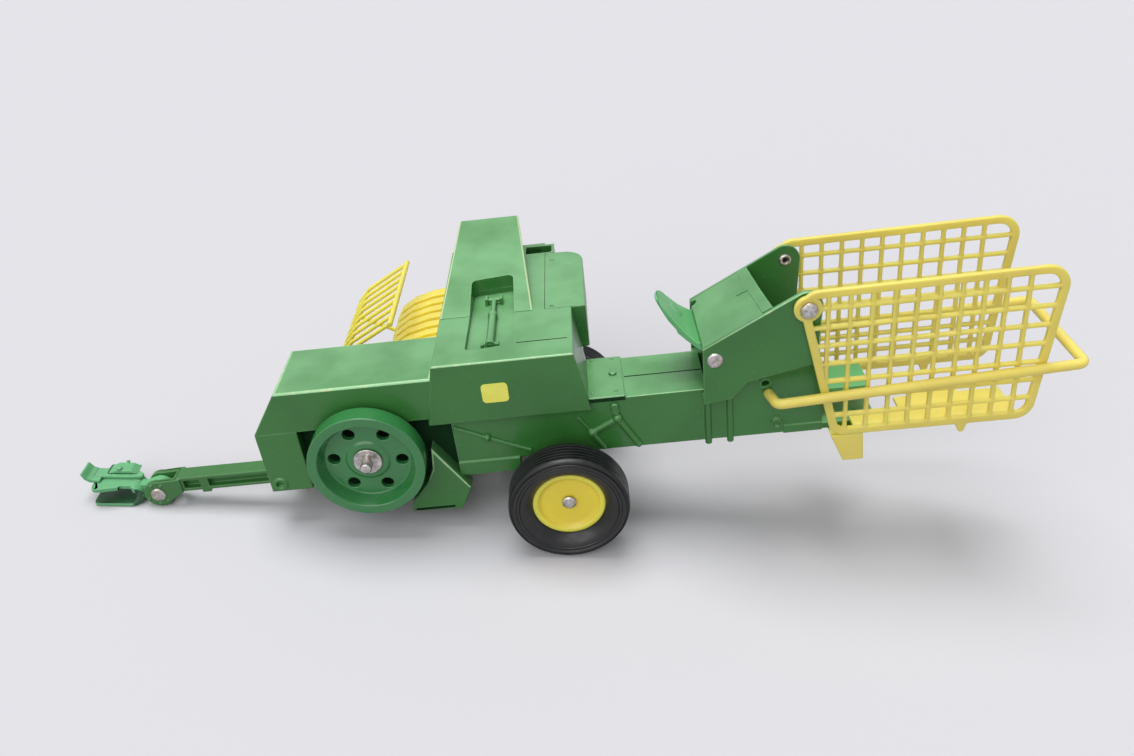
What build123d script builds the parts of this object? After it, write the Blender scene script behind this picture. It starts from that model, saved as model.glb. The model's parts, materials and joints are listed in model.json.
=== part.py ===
"""Toy square baler with a bale cage: a 1/16 scale push-along model in painted die casting and plastic.

Lengths are in millimetres.  Everything but the hitch coupler is drawn level, with the wheel axle at
X = 0, Z = 0 and the bale chamber centred on Y = 0; +X runs to the rear, +Y to the machine's right and
+Z up.  The whole baler is then tipped nose down until its tyres and its drawbar stand on the floor.
"""
import os
from math import asin, atan2, cos, degrees, hypot, radians, sin

from build123d import *

# ---------------------------------------------------------------- driving dimensions
WALL = 2.0                    # die-cast wall
SHEET = 1.6                   # pressed plates

TYRE_R = 25.0                 # tyre
TYRE_W = 14.6
TYRE_EDGE = 2.5               # shoulder rounding
RIM_R = 15.1                  # yellow hub, over its lip
RIM_SET = 4.6                 # hub lip behind the tyre's outer face
LEFT_TYRE_Y = -37.6           # outer face of the left tyre
RIGHT_TYRE_Y = 59.1           # outer face of the right tyre
HUB_R = 13.5                  # hub barrel inside the tyre
AXLE_R = 2.38                 # 3/16 in rod
RUN = 0.07                    # radial play of a wheel on its axle

CHAMBER_W = 31.0              # bale chamber, outside
CHAMBER_Z0, CHAMBER_Z1 = 13.4, 38.4
CHAMBER_X0, CHAMBER_X1 = -45.0, 107.0
CHAMBER_ROOF_X = 60.0         # the roof stops where the thrower housing begins
SILL_X, SILL_Z = -19.0, 7.4   # deeper part of the chamber, under the twine box
SHELF_X, SHELF_Z0, SHELF_Z1 = 129.5, 13.4, 16.2

HOOD_W = 35.0                 # gearbox hood
HOOD_TOP = 57.0
HOOD_SKIRT = 38.2
HOOD_BROW_X, HOOD_NOSE_X = -113.0, -125.6
BRACKET_X1, BRACKET_Z0 = -108.0, 8.8

BOX_Y0, BOX_Y1 = -19.0, 20.0  # twine box
BOX_TOP, BOX_SKIRT = 63.3, 35.6
BOX_TOP_X0, BOX_TOP_X1 = -48.0, 8.4
BOX_LOW_X0, BOX_LOW_X1 = -53.6, 13.0

FEED_X0, FEED_X1, FEED_Y1 = -48.0, -3.0, 88.0    # cross feed housing
FEED_SKIRT = 43.5
CHAIN_X1, CHAIN_Y1, CHAIN_R = 14.5, 76.0, 9.0    # rounded chain case behind it
SLOT_X0, SLOT_X1, SLOT_Y1 = -12.0, 0.2, 84.6     # grease slot beside the chain case
TROUGH_X, TROUGH_Z = -28.0, 11.0                 # feed trough, rear wall and floor

TOWER_MID_X = -27.9           # raised feeder cover
TOWER_LOW_W, TOWER_HIGH_W = 39.8, 28.0
TOWER_RISE = 15.4

WHEEL_X, WHEEL_Z = -80.3, 24.6                   # flywheel
FLY_R, FLY_RIM = 24.0, 4.0
FLY_Y0, FLY_Y1 = -28.0, -19.6
FLY_HOLE_R, FLY_HOLE_PCD, FLY_HOLES, FLY_TURN = 2.55, 28.0, 6, -6.6
STUB_R, STUB_PROUD = 2.4, 5.0

PLATE_Y = 21.5                # outer face of the thrower's side plates
EAR_X, EAR_Z, EAR_R = 98.2, 75.0, 6.2
PIVOT_X, PIVOT_Z = 62.9, 55.3                    # thrower pivot
RIVET_HEAD_R, RIVET_R = 3.3, 1.6
COVER_X0 = 58.5                                  # sloping roof: front edge, rear edge left and right
COVER_LEFT_X1, COVER_RIGHT_X1 = 85.8, 81.9
COVER_Z = 60.6
PADDLE_LEFT = [(67.0, -12.6), (58.5, -12.5), (53.0, -9.8), (47.7, -6.1), (43.6, -2.2)]   # (x, y), root to tip
PADDLE_RIGHT = [(42.4, 0.7), (42.8, 5.0), (45.6, 11.3), (57.5, 16.2), (67.0, 16.2)]      # (x, y), tip to root
TRAY_W = 18.0
TRAY_X, TRAY_Z = 128.0, 28.6

CAGE_GAP, CAGE_SHEET = 0.6, 2.2                  # cage side panels, outside the plates
CAGE_BAR, CAGE_RIB = 3.4, 1.7
CAGE_PITCH_X, CAGE_PITCH_Z = 8.3, 8.2
LOOP_R, LOOP_X = 2.1, 205.2                      # bumper loop, against the panels

PICK_Y0, PICK_Y1 = 26.0, 88.0                    # pickup
PICK_PITCH, PICK_BAND = 7.6, 4.8
GUARD_R, GUARD_ROD_R = 1.2, 0.9

TONGUE_Y, TONGUE_W = -3.0, 10.0
TONGUE_Z0, TONGUE_Z1 = 5.8, 13.0
HITCH_X, HITCH_Z, HITCH_R = -179.5, 6.3, 6.3     # rivet through the drawbar's forked end
FORK_GAP, FORK_L = 4.8, 11.0
STEP_L0, STEP_L1, STEP_DROP = 19.0, 23.0, 1.4    # step under the drawbar, back from the hitch rivet
WEB_HALF, FLANGE_LOW, FLANGE_HIGH = 1.2, 1.5, 1.7                    # drawbar between its side recesses
COUPLER_Y0, COUPLER_Y1, COUPLER_L = -9.0, 7.0, 30.0
JAW_Z0, JAW_Z1 = -4.7, 1.0                       # jaw faces, from the hitch rivet
HITCH_PIN_R, HITCH_PIN_L, HITCH_PIN_X = 1.5, 3.6, -20.0
SIDE_PLAY = 0.2               # play beside a moving piece

HALF = CHAMBER_W / 2
CAGE_Y0 = PLATE_Y + CAGE_GAP
CAGE_Y1 = CAGE_Y0 + CAGE_SHEET
LOOP_Y = CAGE_Y1 + LOOP_R
PITCH = degrees(asin((TYRE_R - HITCH_R) / hypot(HITCH_X, HITCH_Z)) + atan2(HITCH_Z, -HITCH_X))


# ---------------------------------------------------------------- drawing helpers
def slab(points, y0, y1):
    """Prism over a closed outline of (x, z) corners, from y0 to y1."""
    outline = Plane.XZ.offset(-y1) * make_face(Polyline(*points, close=True))
    return extrude(outline, amount=y1 - y0)


def box(x0, x1, y0, y1, z0, z1):
    return Pos((x0 + x1) / 2, (y0 + y1) / 2, (z0 + z1) / 2) * Box(x1 - x0, y1 - y0, z1 - z0)


def rod(x, z, r, y0, y1):
    """Round bar along Y."""
    return Pos(x, (y0 + y1) / 2, z) * Rot(90, 0, 0) * Cylinder(r, y1 - y0)


def rod_z(x, y, r, z0, z1):
    """Round post along Z."""
    return Pos(x, y, (z0 + z1) / 2) * Cylinder(r, z1 - z0)


def bar(start, end, r):
    """Round bar between two points."""
    line = Line(start, end)
    return sweep(Plane(origin=start, z_dir=line % 0) * Circle(r), path=line)


def bent(points, r, bend):
    """Round bar along a line of points with rounded corners."""
    path = FilletPolyline(*points, radius=bend)
    return sweep(Plane(origin=path @ 0, z_dir=path % 0) * Circle(r), path=path)


def turned(profile, x, z):
    """Solid of revolution about an axle along Y, from (radius, y) corners."""
    return Pos(x, 0, z) * revolve(make_face(Polyline(*profile, close=True)), Axis.Y)


def mirrored(shape):
    return mirror(shape, about=Plane.XZ)


def strip(points, thick):
    """Closed outline of a plate of even thickness laid above an open (x, z) line."""
    upper = [(x, z + thick) for x, z in reversed(points)]
    return list(points) + upper


tilted, level = {}, {}        # nodes drawn with the machine level, and the coupler's

# ---------------------------------------------------------------- bale chamber, two castings
THROAT = [(58.2, 35.2), (69.3, 36.6), (75.5, 43.8), (103.0, 49.4)]     # lower edge of the side plates


def chamber_half():
    wall = slab([(CHAMBER_X0, SILL_Z), (SILL_X, SILL_Z), (SILL_X, CHAMBER_Z0), (CHAMBER_X1, CHAMBER_Z0),
                 (CHAMBER_X1, 44.0), (103.0, THROAT[3][1] + SHEET), (75.5, THROAT[2][1] + SHEET),
                 (70.2, CHAMBER_Z1), (CHAMBER_X0, CHAMBER_Z1)], -HALF, -HALF + WALL)
    roof = box(CHAMBER_X0, CHAMBER_ROOF_X, -HALF + WALL, 0, CHAMBER_Z1 - WALL, CHAMBER_Z1)
    floor = box(SILL_X, CHAMBER_X1, -HALF + WALL, 0, CHAMBER_Z0, CHAMBER_Z0 + WALL)
    sill = box(CHAMBER_X0, SILL_X, -HALF + WALL, 0, SILL_Z, SILL_Z + WALL)
    riser = box(SILL_X - WALL, SILL_X, -HALF + WALL, 0, SILL_Z, CHAMBER_Z0 + WALL)
    front = box(CHAMBER_X0, CHAMBER_X0 + WALL, -HALF + WALL, 0, SILL_Z + WALL, CHAMBER_Z1 - WALL)
    half = wall + roof + floor + sill + riser + front
    half += slab([(CHAMBER_X0, SILL_Z), (SILL_X, SILL_Z), (SILL_X, 14.0), (CHAMBER_X0, 14.0)],
                 -HALF - 1.0, -HALF)
    half += box(91.0, CHAMBER_X1, -HALF - 0.8, -HALF, CHAMBER_Z0, 17.2)
    for x in (60.2, 69.2):                                 # half-round posts below the thrower housing
        half += rod_z(x, -HALF, 1.4, 11.8, 35.2)
    half += rod(88.2, 18.9, 2.4, -HALF - 1.4, -HALF)
    half -= rod(88.2, 18.9, 1.5, -HALF - 1.4, -HALF - 0.3)
    half -= rod(83.6, 38.6, 2.3, -HALF - 0.1, -HALF + WALL + 0.1)      # socket above the cage peg
    return half


tilted["chamber_left"] = chamber_half()
tilted["chamber_right"] = mirrored(chamber_half())
tilted["outlet_shelf"] = box(CHAMBER_X1, SHELF_X, -HALF, HALF, SHELF_Z0, SHELF_Z1)

# cover over the knotters, with its dome
tilted["knotter_cover"] = (box(13.2, 27.0, -HALF + 0.8, HALF, CHAMBER_Z1, CHAMBER_Z1 + 1.0)
                           + Pos(23.2, 3.3, CHAMBER_Z1 + 1.4) * Cylinder(1.6, 0.8))

# raised tying linkage on each side wall
LINKS = [                     # start x, start z, end x, end z, width
    (22.3, 35.2, 23.0, 28.8, 2.6),
    (23.2, 28.8, 31.0, 15.2, 2.4),
    (23.2, 28.8, 12.4, 22.8, 2.4),
    (12.4, 22.8, 16.6, 15.2, 2.0),
    (7.2, 31.0, 12.4, 23.8, 1.2),
]
LOW_LINKS = [(-43.6, 31.2, -14.0, 16.8, 1.4)]


def link_bar(x0, z0, x1, z1, width, y0, y1):
    length, turn = hypot(x1 - x0, z1 - z0), degrees(atan2(z1 - z0, x1 - x0))
    slot = Pos((x0 + x1) / 2, (z0 + z1) / 2) * Rot(0, 0, turn) * SlotCenterToCenter(length, width)
    return extrude(Plane.XZ.offset(-y1) * slot, amount=y1 - y0)


linkage = Part() + [link_bar(*row, -HALF - 1.6, -HALF) for row in LINKS]
linkage += rod(12.4, 22.8, 1.9, -HALF - 2.2, -HALF)
linkage += rod(23.2, 28.8, 1.9, -HALF - 2.2, -HALF)
tilted["linkage_left"] = linkage
tilted["linkage_right"] = mirrored(linkage)
rail = Part() + [link_bar(*row, -HALF - 1.2, -HALF) for row in LOW_LINKS]
rail += rod(-31.2, 25.2, 1.7, -HALF - 1.8, -HALF)
tilted["needle_rail_left"] = rail

# ---------------------------------------------------------------- twine box
box_side = [(BOX_TOP_X0, BOX_TOP), (BOX_TOP_X1, BOX_TOP), (BOX_LOW_X1, BOX_SKIRT), (BOX_LOW_X0, BOX_SKIRT)]
slope_in = WALL * 1.02
box_core = [(BOX_TOP_X0 + slope_in, BOX_TOP - WALL), (BOX_TOP_X1 - slope_in, BOX_TOP - WALL),
            (BOX_LOW_X1 - slope_in, BOX_SKIRT), (BOX_LOW_X0 + slope_in, BOX_SKIRT)]
twine_box = slab(box_side, BOX_Y0, BOX_Y1) - slab(box_core, BOX_Y0 + WALL, BOX_Y1)
twine_box -= box(-60, 20, -HALF, HALF, BOX_SKIRT - 1, CHAMBER_Z1)
twine_box -= box(FEED_X0 - 6, 20, HALF, BOX_Y1, BOX_SKIRT - 1, FEED_SKIRT)
POCKET = [(-35.2, -9.0), (-15.4, -6.5), (-16.4, 45.0), (-34.6, 43.0)]        # pocket outline, (x, y)
POCKET_Z, POCKET_R = BOX_TOP - 2.6, 2.4
pocket_face = make_face(Polyline(*POCKET, close=True))
pocket_face = fillet(pocket_face.vertices(), POCKET_R)
pocket_cut = extrude(Plane.XY.offset(POCKET_Z) * pocket_face, amount=40)
twine_box += box(-38, -12, BOX_Y0 + WALL, BOX_Y1, POCKET_Z - WALL, BOX_TOP - WALL)
twine_box -= pocket_cut
tilted["twine_box"] = twine_box
tilted["blank_plate"] = (Plane.XZ.offset(-BOX_Y0) * Pos(-25.0, 48.8)
                         * extrude(RectangleRounded(11.6, 8.6, 1.6), amount=0.4))

# ---------------------------------------------------------------- cross feed housing and feeder cover
feed = box(FEED_X0, FEED_X1, BOX_Y1, FEED_Y1, FEED_SKIRT, BOX_TOP)
feed -= box(FEED_X0 - 1, FEED_X1 - WALL, BOX_Y1 - 1, FEED_Y1 - WALL, FEED_SKIRT - 1, BOX_TOP - WALL)
feed += box(-38, -12, BOX_Y1, 47.0, POCKET_Z - WALL, BOX_TOP - WALL)
feed += box(FEED_X1, SLOT_X1 + 1.2, CHAIN_Y1, SLOT_Y1 + 1.2, FEED_SKIRT, BOX_TOP)
feed -= box(SLOT_X0, SLOT_X1, CHAIN_Y1 + 1.2, SLOT_Y1, FEED_SKIRT, BOX_TOP)
tilted["feed_housing"] = feed - pocket_cut

chain_case = box(FEED_X1, CHAIN_X1, BOX_Y1, CHAIN_Y1, FEED_SKIRT, BOX_TOP)
corner = chain_case.edges().filter_by(Axis.Z).sort_by(lambda e: e.center().X + e.center().Y)[-1]
chain_case = fillet(corner, CHAIN_R)
chain_case -= box(FEED_X1, CHAIN_X1 - WALL, BOX_Y1 + WALL, CHAIN_Y1 - CHAIN_R, FEED_SKIRT, BOX_TOP - WALL)
tilted["chain_case"] = chain_case

trough = [(FEED_X0 + 8, TROUGH_Z), (TROUGH_X - 5, TROUGH_Z), (TROUGH_X, TROUGH_Z + 7), (TROUGH_X, FEED_SKIRT),
          (TROUGH_X - WALL, FEED_SKIRT), (TROUGH_X - WALL, TROUGH_Z + 8), (TROUGH_X - 6, TROUGH_Z + WALL),
          (FEED_X0 + 8, TROUGH_Z + WALL)]
feed_trough = slab(trough, HALF + 1.0, FEED_Y1)
feed_trough += box(FEED_X0, TROUGH_X - WALL, FEED_Y1 - WALL, FEED_Y1, TROUGH_Z + WALL, FEED_SKIRT)
tilted["feed_trough"] = feed_trough


def wedge(half_low, half_high, y0, y1, z0, z1_low, z1_high):
    """Wedge between a wide low end and a narrow high end."""
    ends = []
    for half, y, z1 in ((half_low, y0, z1_low), (half_high, y1, z1_high)):
        x0, x1 = TOWER_MID_X - half, TOWER_MID_X + half
        ends.append(make_face(Polyline((x0, y, z0), (x1, y, z0), (x1, y, z1), (x0, y, z1), close=True)))
    return loft(ends)


low_half, high_half = TOWER_LOW_W / 2, TOWER_HIGH_W / 2
tower = wedge(low_half, high_half, BOX_Y1, FEED_Y1, BOX_TOP, BOX_TOP + 0.2, BOX_TOP + TOWER_RISE)
tower -= wedge(low_half - WALL, high_half - WALL, 48.0, FEED_Y1 - WALL,
               BOX_TOP, BOX_TOP + 5.0, BOX_TOP + TOWER_RISE - WALL)
tilted["feeder_cover"] = tower - pocket_cut

# moulded feeder cylinder in the pocket
ram = bar((-25.6, -5.0, POCKET_Z + 1.9), (-25.6, 33.0, POCKET_Z + 1.9), 1.5)
ram += box(-30.0, -21.2, 33.0, 35.4, POCKET_Z, POCKET_Z + 3.2)
ram += box(-29.4, -21.8, -6.2, -4.4, POCKET_Z, POCKET_Z + 2.8)
tilted["feeder_ram"] = ram

# ---------------------------------------------------------------- hood, gearbox and front bracket
hw = HOOD_W / 2
hood_side = [(HOOD_BROW_X, HOOD_TOP), (BOX_TOP_X0, HOOD_TOP), (BOX_LOW_X0 + 2, HOOD_SKIRT),
             (HOOD_NOSE_X, HOOD_SKIRT)]
hood_core = [(HOOD_BROW_X + 1.2, HOOD_TOP - WALL), (BOX_TOP_X0, HOOD_TOP - WALL), (BOX_TOP_X0, HOOD_SKIRT),
             (HOOD_NOSE_X + 2.2, HOOD_SKIRT)]
hood = slab(hood_side, -hw, hw) - slab(hood_core, -hw + WALL, hw - WALL)
tilted["gearbox_hood"] = hood - slab(box_side, BOX_Y0, BOX_Y1)

bracket = box(HOOD_NOSE_X, BRACKET_X1, -hw, hw, BRACKET_Z0, HOOD_SKIRT)
bracket -= box(HOOD_NOSE_X + WALL, BRACKET_X1 - WALL, -hw + WALL, hw - WALL, BRACKET_Z0, HOOD_SKIRT)
bracket -= box(HOOD_NOSE_X, BRACKET_X1, TONGUE_Y - 6, TONGUE_Y + 6, BRACKET_Z0, 15.0)
bracket += rod(-121.1, 12.7, 3.0, -hw - 0.8, -hw) + rod(-121.1, 12.7, 3.0, hw, hw + 0.8)
bracket -= rod(-121.1, 12.7, 1.6, -hw - 0.8, -hw + WALL / 2) + rod(-121.1, 12.7, 1.6, hw - WALL / 2, hw + 0.8)
tilted["front_bracket"] = bracket

gear_w = 12.0
gearbox = slab([(BRACKET_X1, 6.0), (BRACKET_X1, HOOD_SKIRT), (-104, HOOD_TOP - WALL), (-60, HOOD_TOP - WALL),
                (-60, HOOD_SKIRT), (CHAMBER_X0, HOOD_SKIRT), (CHAMBER_X0, -4.0), (-66, -4.0), (-100, -1.0)],
               -gear_w, gear_w)
gearbox -= slab([(-90, 44), (-90, HOOD_TOP - WALL), (-70, HOOD_TOP - WALL), (-70, 44)], -gear_w, gear_w)
gearbox -= slab([(BRACKET_X1 + 2, 0.0), (BRACKET_X1 + 2, HOOD_SKIRT), (-102, 42), (-62, 42),
                 (-60, HOOD_SKIRT - 2), (CHAMBER_X0 - 2, HOOD_SKIRT - 2), (CHAMBER_X0 - 2, -6.0),
                 (-64, -6.0), (-98, -6.0)], -gear_w + WALL, gear_w - WALL)
gearbox += rod(WHEEL_X, WHEEL_Z, 6.0, FLY_Y1 + SIDE_PLAY, 0)
gearbox -= rod(WHEEL_X, WHEEL_Z, STUB_R, -hw - 3, 0)
tilted["gearbox"] = gearbox - box(-60, CHAMBER_X0, -hw, hw, HOOD_SKIRT - 0.01, HOOD_TOP)

FOOT = [(-54.6, 24.1), (-55.8, 13.7), (-58.7, 7.3), (-66.8, -2.0), (-68.1, -7.6), (-46.2, -8.4), (-41.0, 2.4)]
tilted["gearbox_foot"] = slab(FOOT, BOX_Y0, -gear_w) - box(CHAMBER_X0, 0, -HALF - 1.0, -gear_w, SILL_Z, 40)

# ---------------------------------------------------------------- drawbar and hitch rivet
y0, y1 = TONGUE_Y - TONGUE_W / 2, TONGUE_Y + TONGUE_W / 2
tongue = box(HITCH_X + FORK_L - 2, BRACKET_X1, y0 + 1, y1 - 1, TONGUE_Z0, TONGUE_Z1)
for side0, side1 in ((y0, TONGUE_Y - WEB_HALF), (TONGUE_Y + WEB_HALF, y1)):
    for x0, x1 in ((HITCH_X + FORK_L + 1, HITCH_X + STEP_L0), (HITCH_X + STEP_L1, HOOD_NOSE_X - 4)):
        tongue -= box(x0, x1, side0, side1, TONGUE_Z0 + FLANGE_LOW, TONGUE_Z1 - FLANGE_HIGH)
tongue += box(HITCH_X + STEP_L0, HITCH_X + STEP_L1, y0 + 1, y1 - 1, TONGUE_Z0 - STEP_DROP, TONGUE_Z1)
fork_x1 = HITCH_X + FORK_L
tongue += slab([(HITCH_X, HITCH_Z - HITCH_R + 0.6), (HITCH_X + 5, 2.6), (fork_x1, TONGUE_Z0),
                (fork_x1, TONGUE_Z1), (HITCH_X, HITCH_Z + HITCH_R - 0.2)], y0, y1)
tongue += rod(HITCH_X, HITCH_Z, HITCH_R, y0, y1)
tongue -= box(HITCH_X - 8, HITCH_X + HITCH_R + 1.5, TONGUE_Y - FORK_GAP / 2, TONGUE_Y + FORK_GAP / 2,
              -4, 20)
tongue -= rod(HITCH_X, HITCH_Z, RIVET_R, y0, y1)
tilted["drawbar"] = tongue
tilted["hitch_rivet"] = (rod(HITCH_X, HITCH_Z, RIVET_R, y0, y1)
                         + rod(HITCH_X, HITCH_Z, RIVET_HEAD_R, y0 - 1.0, y0)
                         + rod(HITCH_X, HITCH_Z, 2.6, y1, y1 + 0.9))

# ---------------------------------------------------------------- flywheel
wy = FLY_Y0 + 5.7
flywheel = turned([(FLY_R, FLY_Y0), (FLY_R, FLY_Y1), (STUB_R + RUN, FLY_Y1), (STUB_R + RUN, wy - 0.9),
                   (8.2, wy - 0.9), (9.4, wy), (17.6, wy), (FLY_R - FLY_RIM, FLY_Y0)], WHEEL_X, WHEEL_Z)
for i in range(FLY_HOLES):
    turn = radians(FLY_TURN + 360 / FLY_HOLES * i)
    x, z = WHEEL_X + FLY_HOLE_PCD / 2 * cos(turn), WHEEL_Z + FLY_HOLE_PCD / 2 * sin(turn)
    flywheel -= rod(x, z, FLY_HOLE_R, wy - 1, FLY_Y1)
tilted["flywheel"] = flywheel
cap_y = wy - 0.9 - SIDE_PLAY
tilted["flywheel_axle"] = (rod(WHEEL_X, WHEEL_Z, STUB_R, cap_y - 0.9 - STUB_PROUD, 0)
                           + rod(WHEEL_X, WHEEL_Z, 6.0, cap_y - 0.9, cap_y))

# ---------------------------------------------------------------- axle and wheels
beam_y0, beam_y1 = LEFT_TYRE_Y + TYRE_W + 0.6, RIGHT_TYRE_Y - TYRE_W - 0.6
beam = box(-8, 8, -HALF, HALF, -4.6, CHAMBER_Z0)
beam += rod(0, 0, 4.6, beam_y0, beam_y1)
beam += box(-4, 4, HALF, 40.0, 0, 7.0)
tilted["axle_beam"] = beam - rod(0, 0, AXLE_R, beam_y0, beam_y1)
axle_y0, axle_y1 = LEFT_TYRE_Y + RIM_SET + 0.2, RIGHT_TYRE_Y - RIM_SET - 0.2
tilted["axle"] = rod(0, 0, AXLE_R, axle_y0, axle_y1)


def tyre(y0):
    lip = y0 + RIM_SET + 1.0
    y1 = y0 + TYRE_W
    ring = turned([(RIM_R, lip - 1.0), (18.5, y0), (TYRE_R, y0), (TYRE_R, y1), (18.5, y1),
                   (HUB_R, y1 - 1.0), (HUB_R, lip), (RIM_R, lip)], 0, 0)
    rims = [e for e in ring.edges().filter_by(GeomType.CIRCLE) if abs(e.radius - TYRE_R) < 1e-3]
    return fillet(rims, TYRE_EDGE)


def hub(y0):
    """Dished hub, its lip towards -Y."""
    face, back = y0 + RIM_SET, y0 + TYRE_W - 0.6
    bore = AXLE_R + RUN
    return turned([(bore, face + 1.7), (12.2, face + 1.2), (12.9, face),
                   (RIM_R, face), (RIM_R, face + 1.0), (HUB_R, face + 1.0), (HUB_R, back),
                   (HUB_R - 1.6, back), (HUB_R - 1.6, face + 3.4), (5.2, face + 3.4), (5.2, back),
                   (bore, back)], 0, 0)


tilted["tyre_left"] = tyre(LEFT_TYRE_Y)
tilted["hub_left"] = hub(LEFT_TYRE_Y)
tilted["tyre_right"] = mirrored(tyre(-RIGHT_TYRE_Y))
tilted["hub_right"] = mirrored(hub(-RIGHT_TYRE_Y))

# ---------------------------------------------------------------- thrower housing
rise = (EAR_Z + EAR_R - COVER_Z) / (EAR_X - 1.5 - COVER_X0)
plate = slab([(COVER_X0, COVER_Z), (EAR_X - 3.0, COVER_Z + rise * (EAR_X - 3.0 - COVER_X0)),
              (EAR_X + EAR_R, EAR_Z), (103.0, THROAT[3][1])] + THROAT[2::-1], -PLATE_Y, -PLATE_Y + SHEET)
plate += rod(EAR_X, EAR_Z, EAR_R, -PLATE_Y, -PLATE_Y + SHEET)
plate += slab(strip(THROAT, SHEET), -PLATE_Y + SHEET, -HALF)
plate -= rod(EAR_X, EAR_Z, RIVET_R, -PLATE_Y, -PLATE_Y + SHEET)
plate -= rod(PIVOT_X, PIVOT_Z, RIVET_R, -PLATE_Y, -PLATE_Y + SHEET)
tilted["thrower_side_left"] = plate
tilted["thrower_side_right"] = mirrored(plate)
inner = PLATE_Y - SHEET
drop = SHEET * hypot(1, rise)
reach = EAR_X - COVER_X0
roof = slab([(COVER_X0, COVER_Z), (EAR_X, COVER_Z + rise * reach), (EAR_X, COVER_Z + rise * reach - drop),
             (COVER_X0, COVER_Z - drop)], -inner, inner)
roof_plan = Polyline((COVER_X0, -inner), (COVER_LEFT_X1, -inner), (COVER_RIGHT_X1, inner), (COVER_X0, inner),
                     close=True)
tilted["thrower_roof"] = roof & extrude(make_face(roof_plan), amount=100)

# ---------------------------------------------------------------- thrower: paddle, arm and tray on one pivot
thrower = slab([(42.4, 73.4), (43.9, 73.6), (48.4, 67.8), (52.8, 62.6), (57.4, 58.5),
                (PIVOT_X, PIVOT_Z + 2.5), (PIVOT_X - 2.6, PIVOT_Z - 1.4), (56.6, PIVOT_Z + 0.8),
                (50.4, 61.0), (49.8, 62.6), (46.8, 66.0)], PADDLE_LEFT[0][1], PADDLE_RIGHT[-1][1])
thrower &= extrude(make_face(Polyline(*PADDLE_LEFT, *PADDLE_RIGHT, close=True)), amount=100)
thrower += rod(PIVOT_X, PIVOT_Z, 3.4, -inner + SIDE_PLAY, inner - SIDE_PLAY)
arm = [(PIVOT_X - 2.2, PIVOT_Z - 2.4), (PIVOT_X + 2.4, PIVOT_Z + 2.2), (103.0, TRAY_Z), (TRAY_X, TRAY_Z),
       (TRAY_X, TRAY_Z - 2.2), (101.6, TRAY_Z - 2.2)]
for side in (-1, 1):
    y = side * (TRAY_W / 2 - 1.5)
    thrower += slab(arm, y - 1.5, y + 1.5)
thrower += box(100.0, TRAY_X, -TRAY_W / 2, TRAY_W / 2, TRAY_Z - 2.2, TRAY_Z)
thrower -= rod(PIVOT_X, PIVOT_Z, RIVET_R + RUN, -inner, inner)
tilted["thrower"] = thrower
tilted["thrower_pin"] = (rod(PIVOT_X, PIVOT_Z, RIVET_R, -PLATE_Y, PLATE_Y)
                         + rod(PIVOT_X, PIVOT_Z, RIVET_HEAD_R, -PLATE_Y - 1.0, -PLATE_Y)
                         + rod(PIVOT_X, PIVOT_Z, 2.6, PLATE_Y, PLATE_Y + 0.9))

# ---------------------------------------------------------------- bale cage
CAGE = [                      # corner x, corner z, corner radius: centre line of the bar round each panel
    (95.6, 80.6, 5.2),
    (194.2, 81.8, 7.6),
    (187.2, 17.0, 5.6),
    (110.2, 17.2, 5.0),
]
COLUMNS = [105.8 + CAGE_PITCH_X * i for i in range(10)]
ROWS = [25.2 + CAGE_PITCH_Z * i for i in range(7)]


def cage_panel():
    w = CAGE_BAR / 2
    face = Plane.XZ.offset(CAGE_Y0)
    outline = make_face(Polyline(*[(x, z) for x, z, _ in CAGE], close=True))
    for x, z, radius in CAGE:
        corner = outline.vertices().sort_by_distance((x, z, 0))[0]
        outline = fillet(corner, radius)
    frame = offset(outline, w, kind=Kind.ARC) - offset(outline, -w, kind=Kind.INTERSECTION)
    grid = Sketch() + [Pos(x, 50) * Rectangle(CAGE_RIB, 90) for x in COLUMNS]
    grid += [Pos(145, z) * Rectangle(120, CAGE_RIB) for z in ROWS]
    frame += grid & outline
    panel = extrude(face * frame, amount=CAGE_Y1 - CAGE_Y0)
    panel += rod(EAR_X, EAR_Z, 5.4, -CAGE_Y1, -CAGE_Y0)
    panel -= rod(EAR_X, EAR_Z, RIVET_R, -CAGE_Y1, -CAGE_Y0)
    panel += slab([(158.0, 17.0), (164.0, 17.0), (162.2, 11.4), (160.4, 11.4)], -CAGE_Y1, -CAGE_Y0)
    return panel


near_panel = cage_panel()
tilted["cage_left"] = near_panel
tilted["cage_right"] = mirrored(near_panel)

# bumper loop, pegged into the chamber sides
loop = [(84.6, -HALF - 0.9, 34.4), (86.4, -LOOP_Y + 0.4, 34.8), (101.8, -LOOP_Y, 35.8),
        (LOOP_X, -LOOP_Y, 40.6)]
loop += [(x, -y, z) for x, y, z in reversed(loop)]
tilted["bumper_loop"] = bent(loop, LOOP_R, 3.0)

FLOOR_PLATES = [              # x from, x to, y to
    (118.0, 139.0, -15.0),
    (139.0, 183.0, -5.0),
    (146.0, 166.0, 1.0),
]
tilted["cage_floor"] = Part() + [box(x0, x1, -CAGE_Y0, y, 17.0, 17.0 + SHEET) for x0, x1, y in FLOOR_PLATES]
LEG = [(108.6, 15.5), (121.8, 15.5), (122.4, 2.4), (114.0, 2.4)]
yoke = slab(LEG, -CAGE_Y1, CAGE_Y1) - box(100, 130, -CAGE_Y0, CAGE_Y0, CHAMBER_Z0, 20)
tilted["cage_yoke"] = yoke - box(115.8, 120.6, -CAGE_Y0, CAGE_Y0, 0, CHAMBER_Z0 - WALL)
cage_rivet = rod(EAR_X, EAR_Z, RIVET_R, -CAGE_Y1, -inner)
cage_rivet += rod(EAR_X, EAR_Z, RIVET_HEAD_R, -CAGE_Y1 - 1.1, -CAGE_Y1)
cage_rivet += rod(EAR_X, EAR_Z, 2.6, -inner, -inner + 1.0)
tilted["cage_rivet_left"] = cage_rivet
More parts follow.
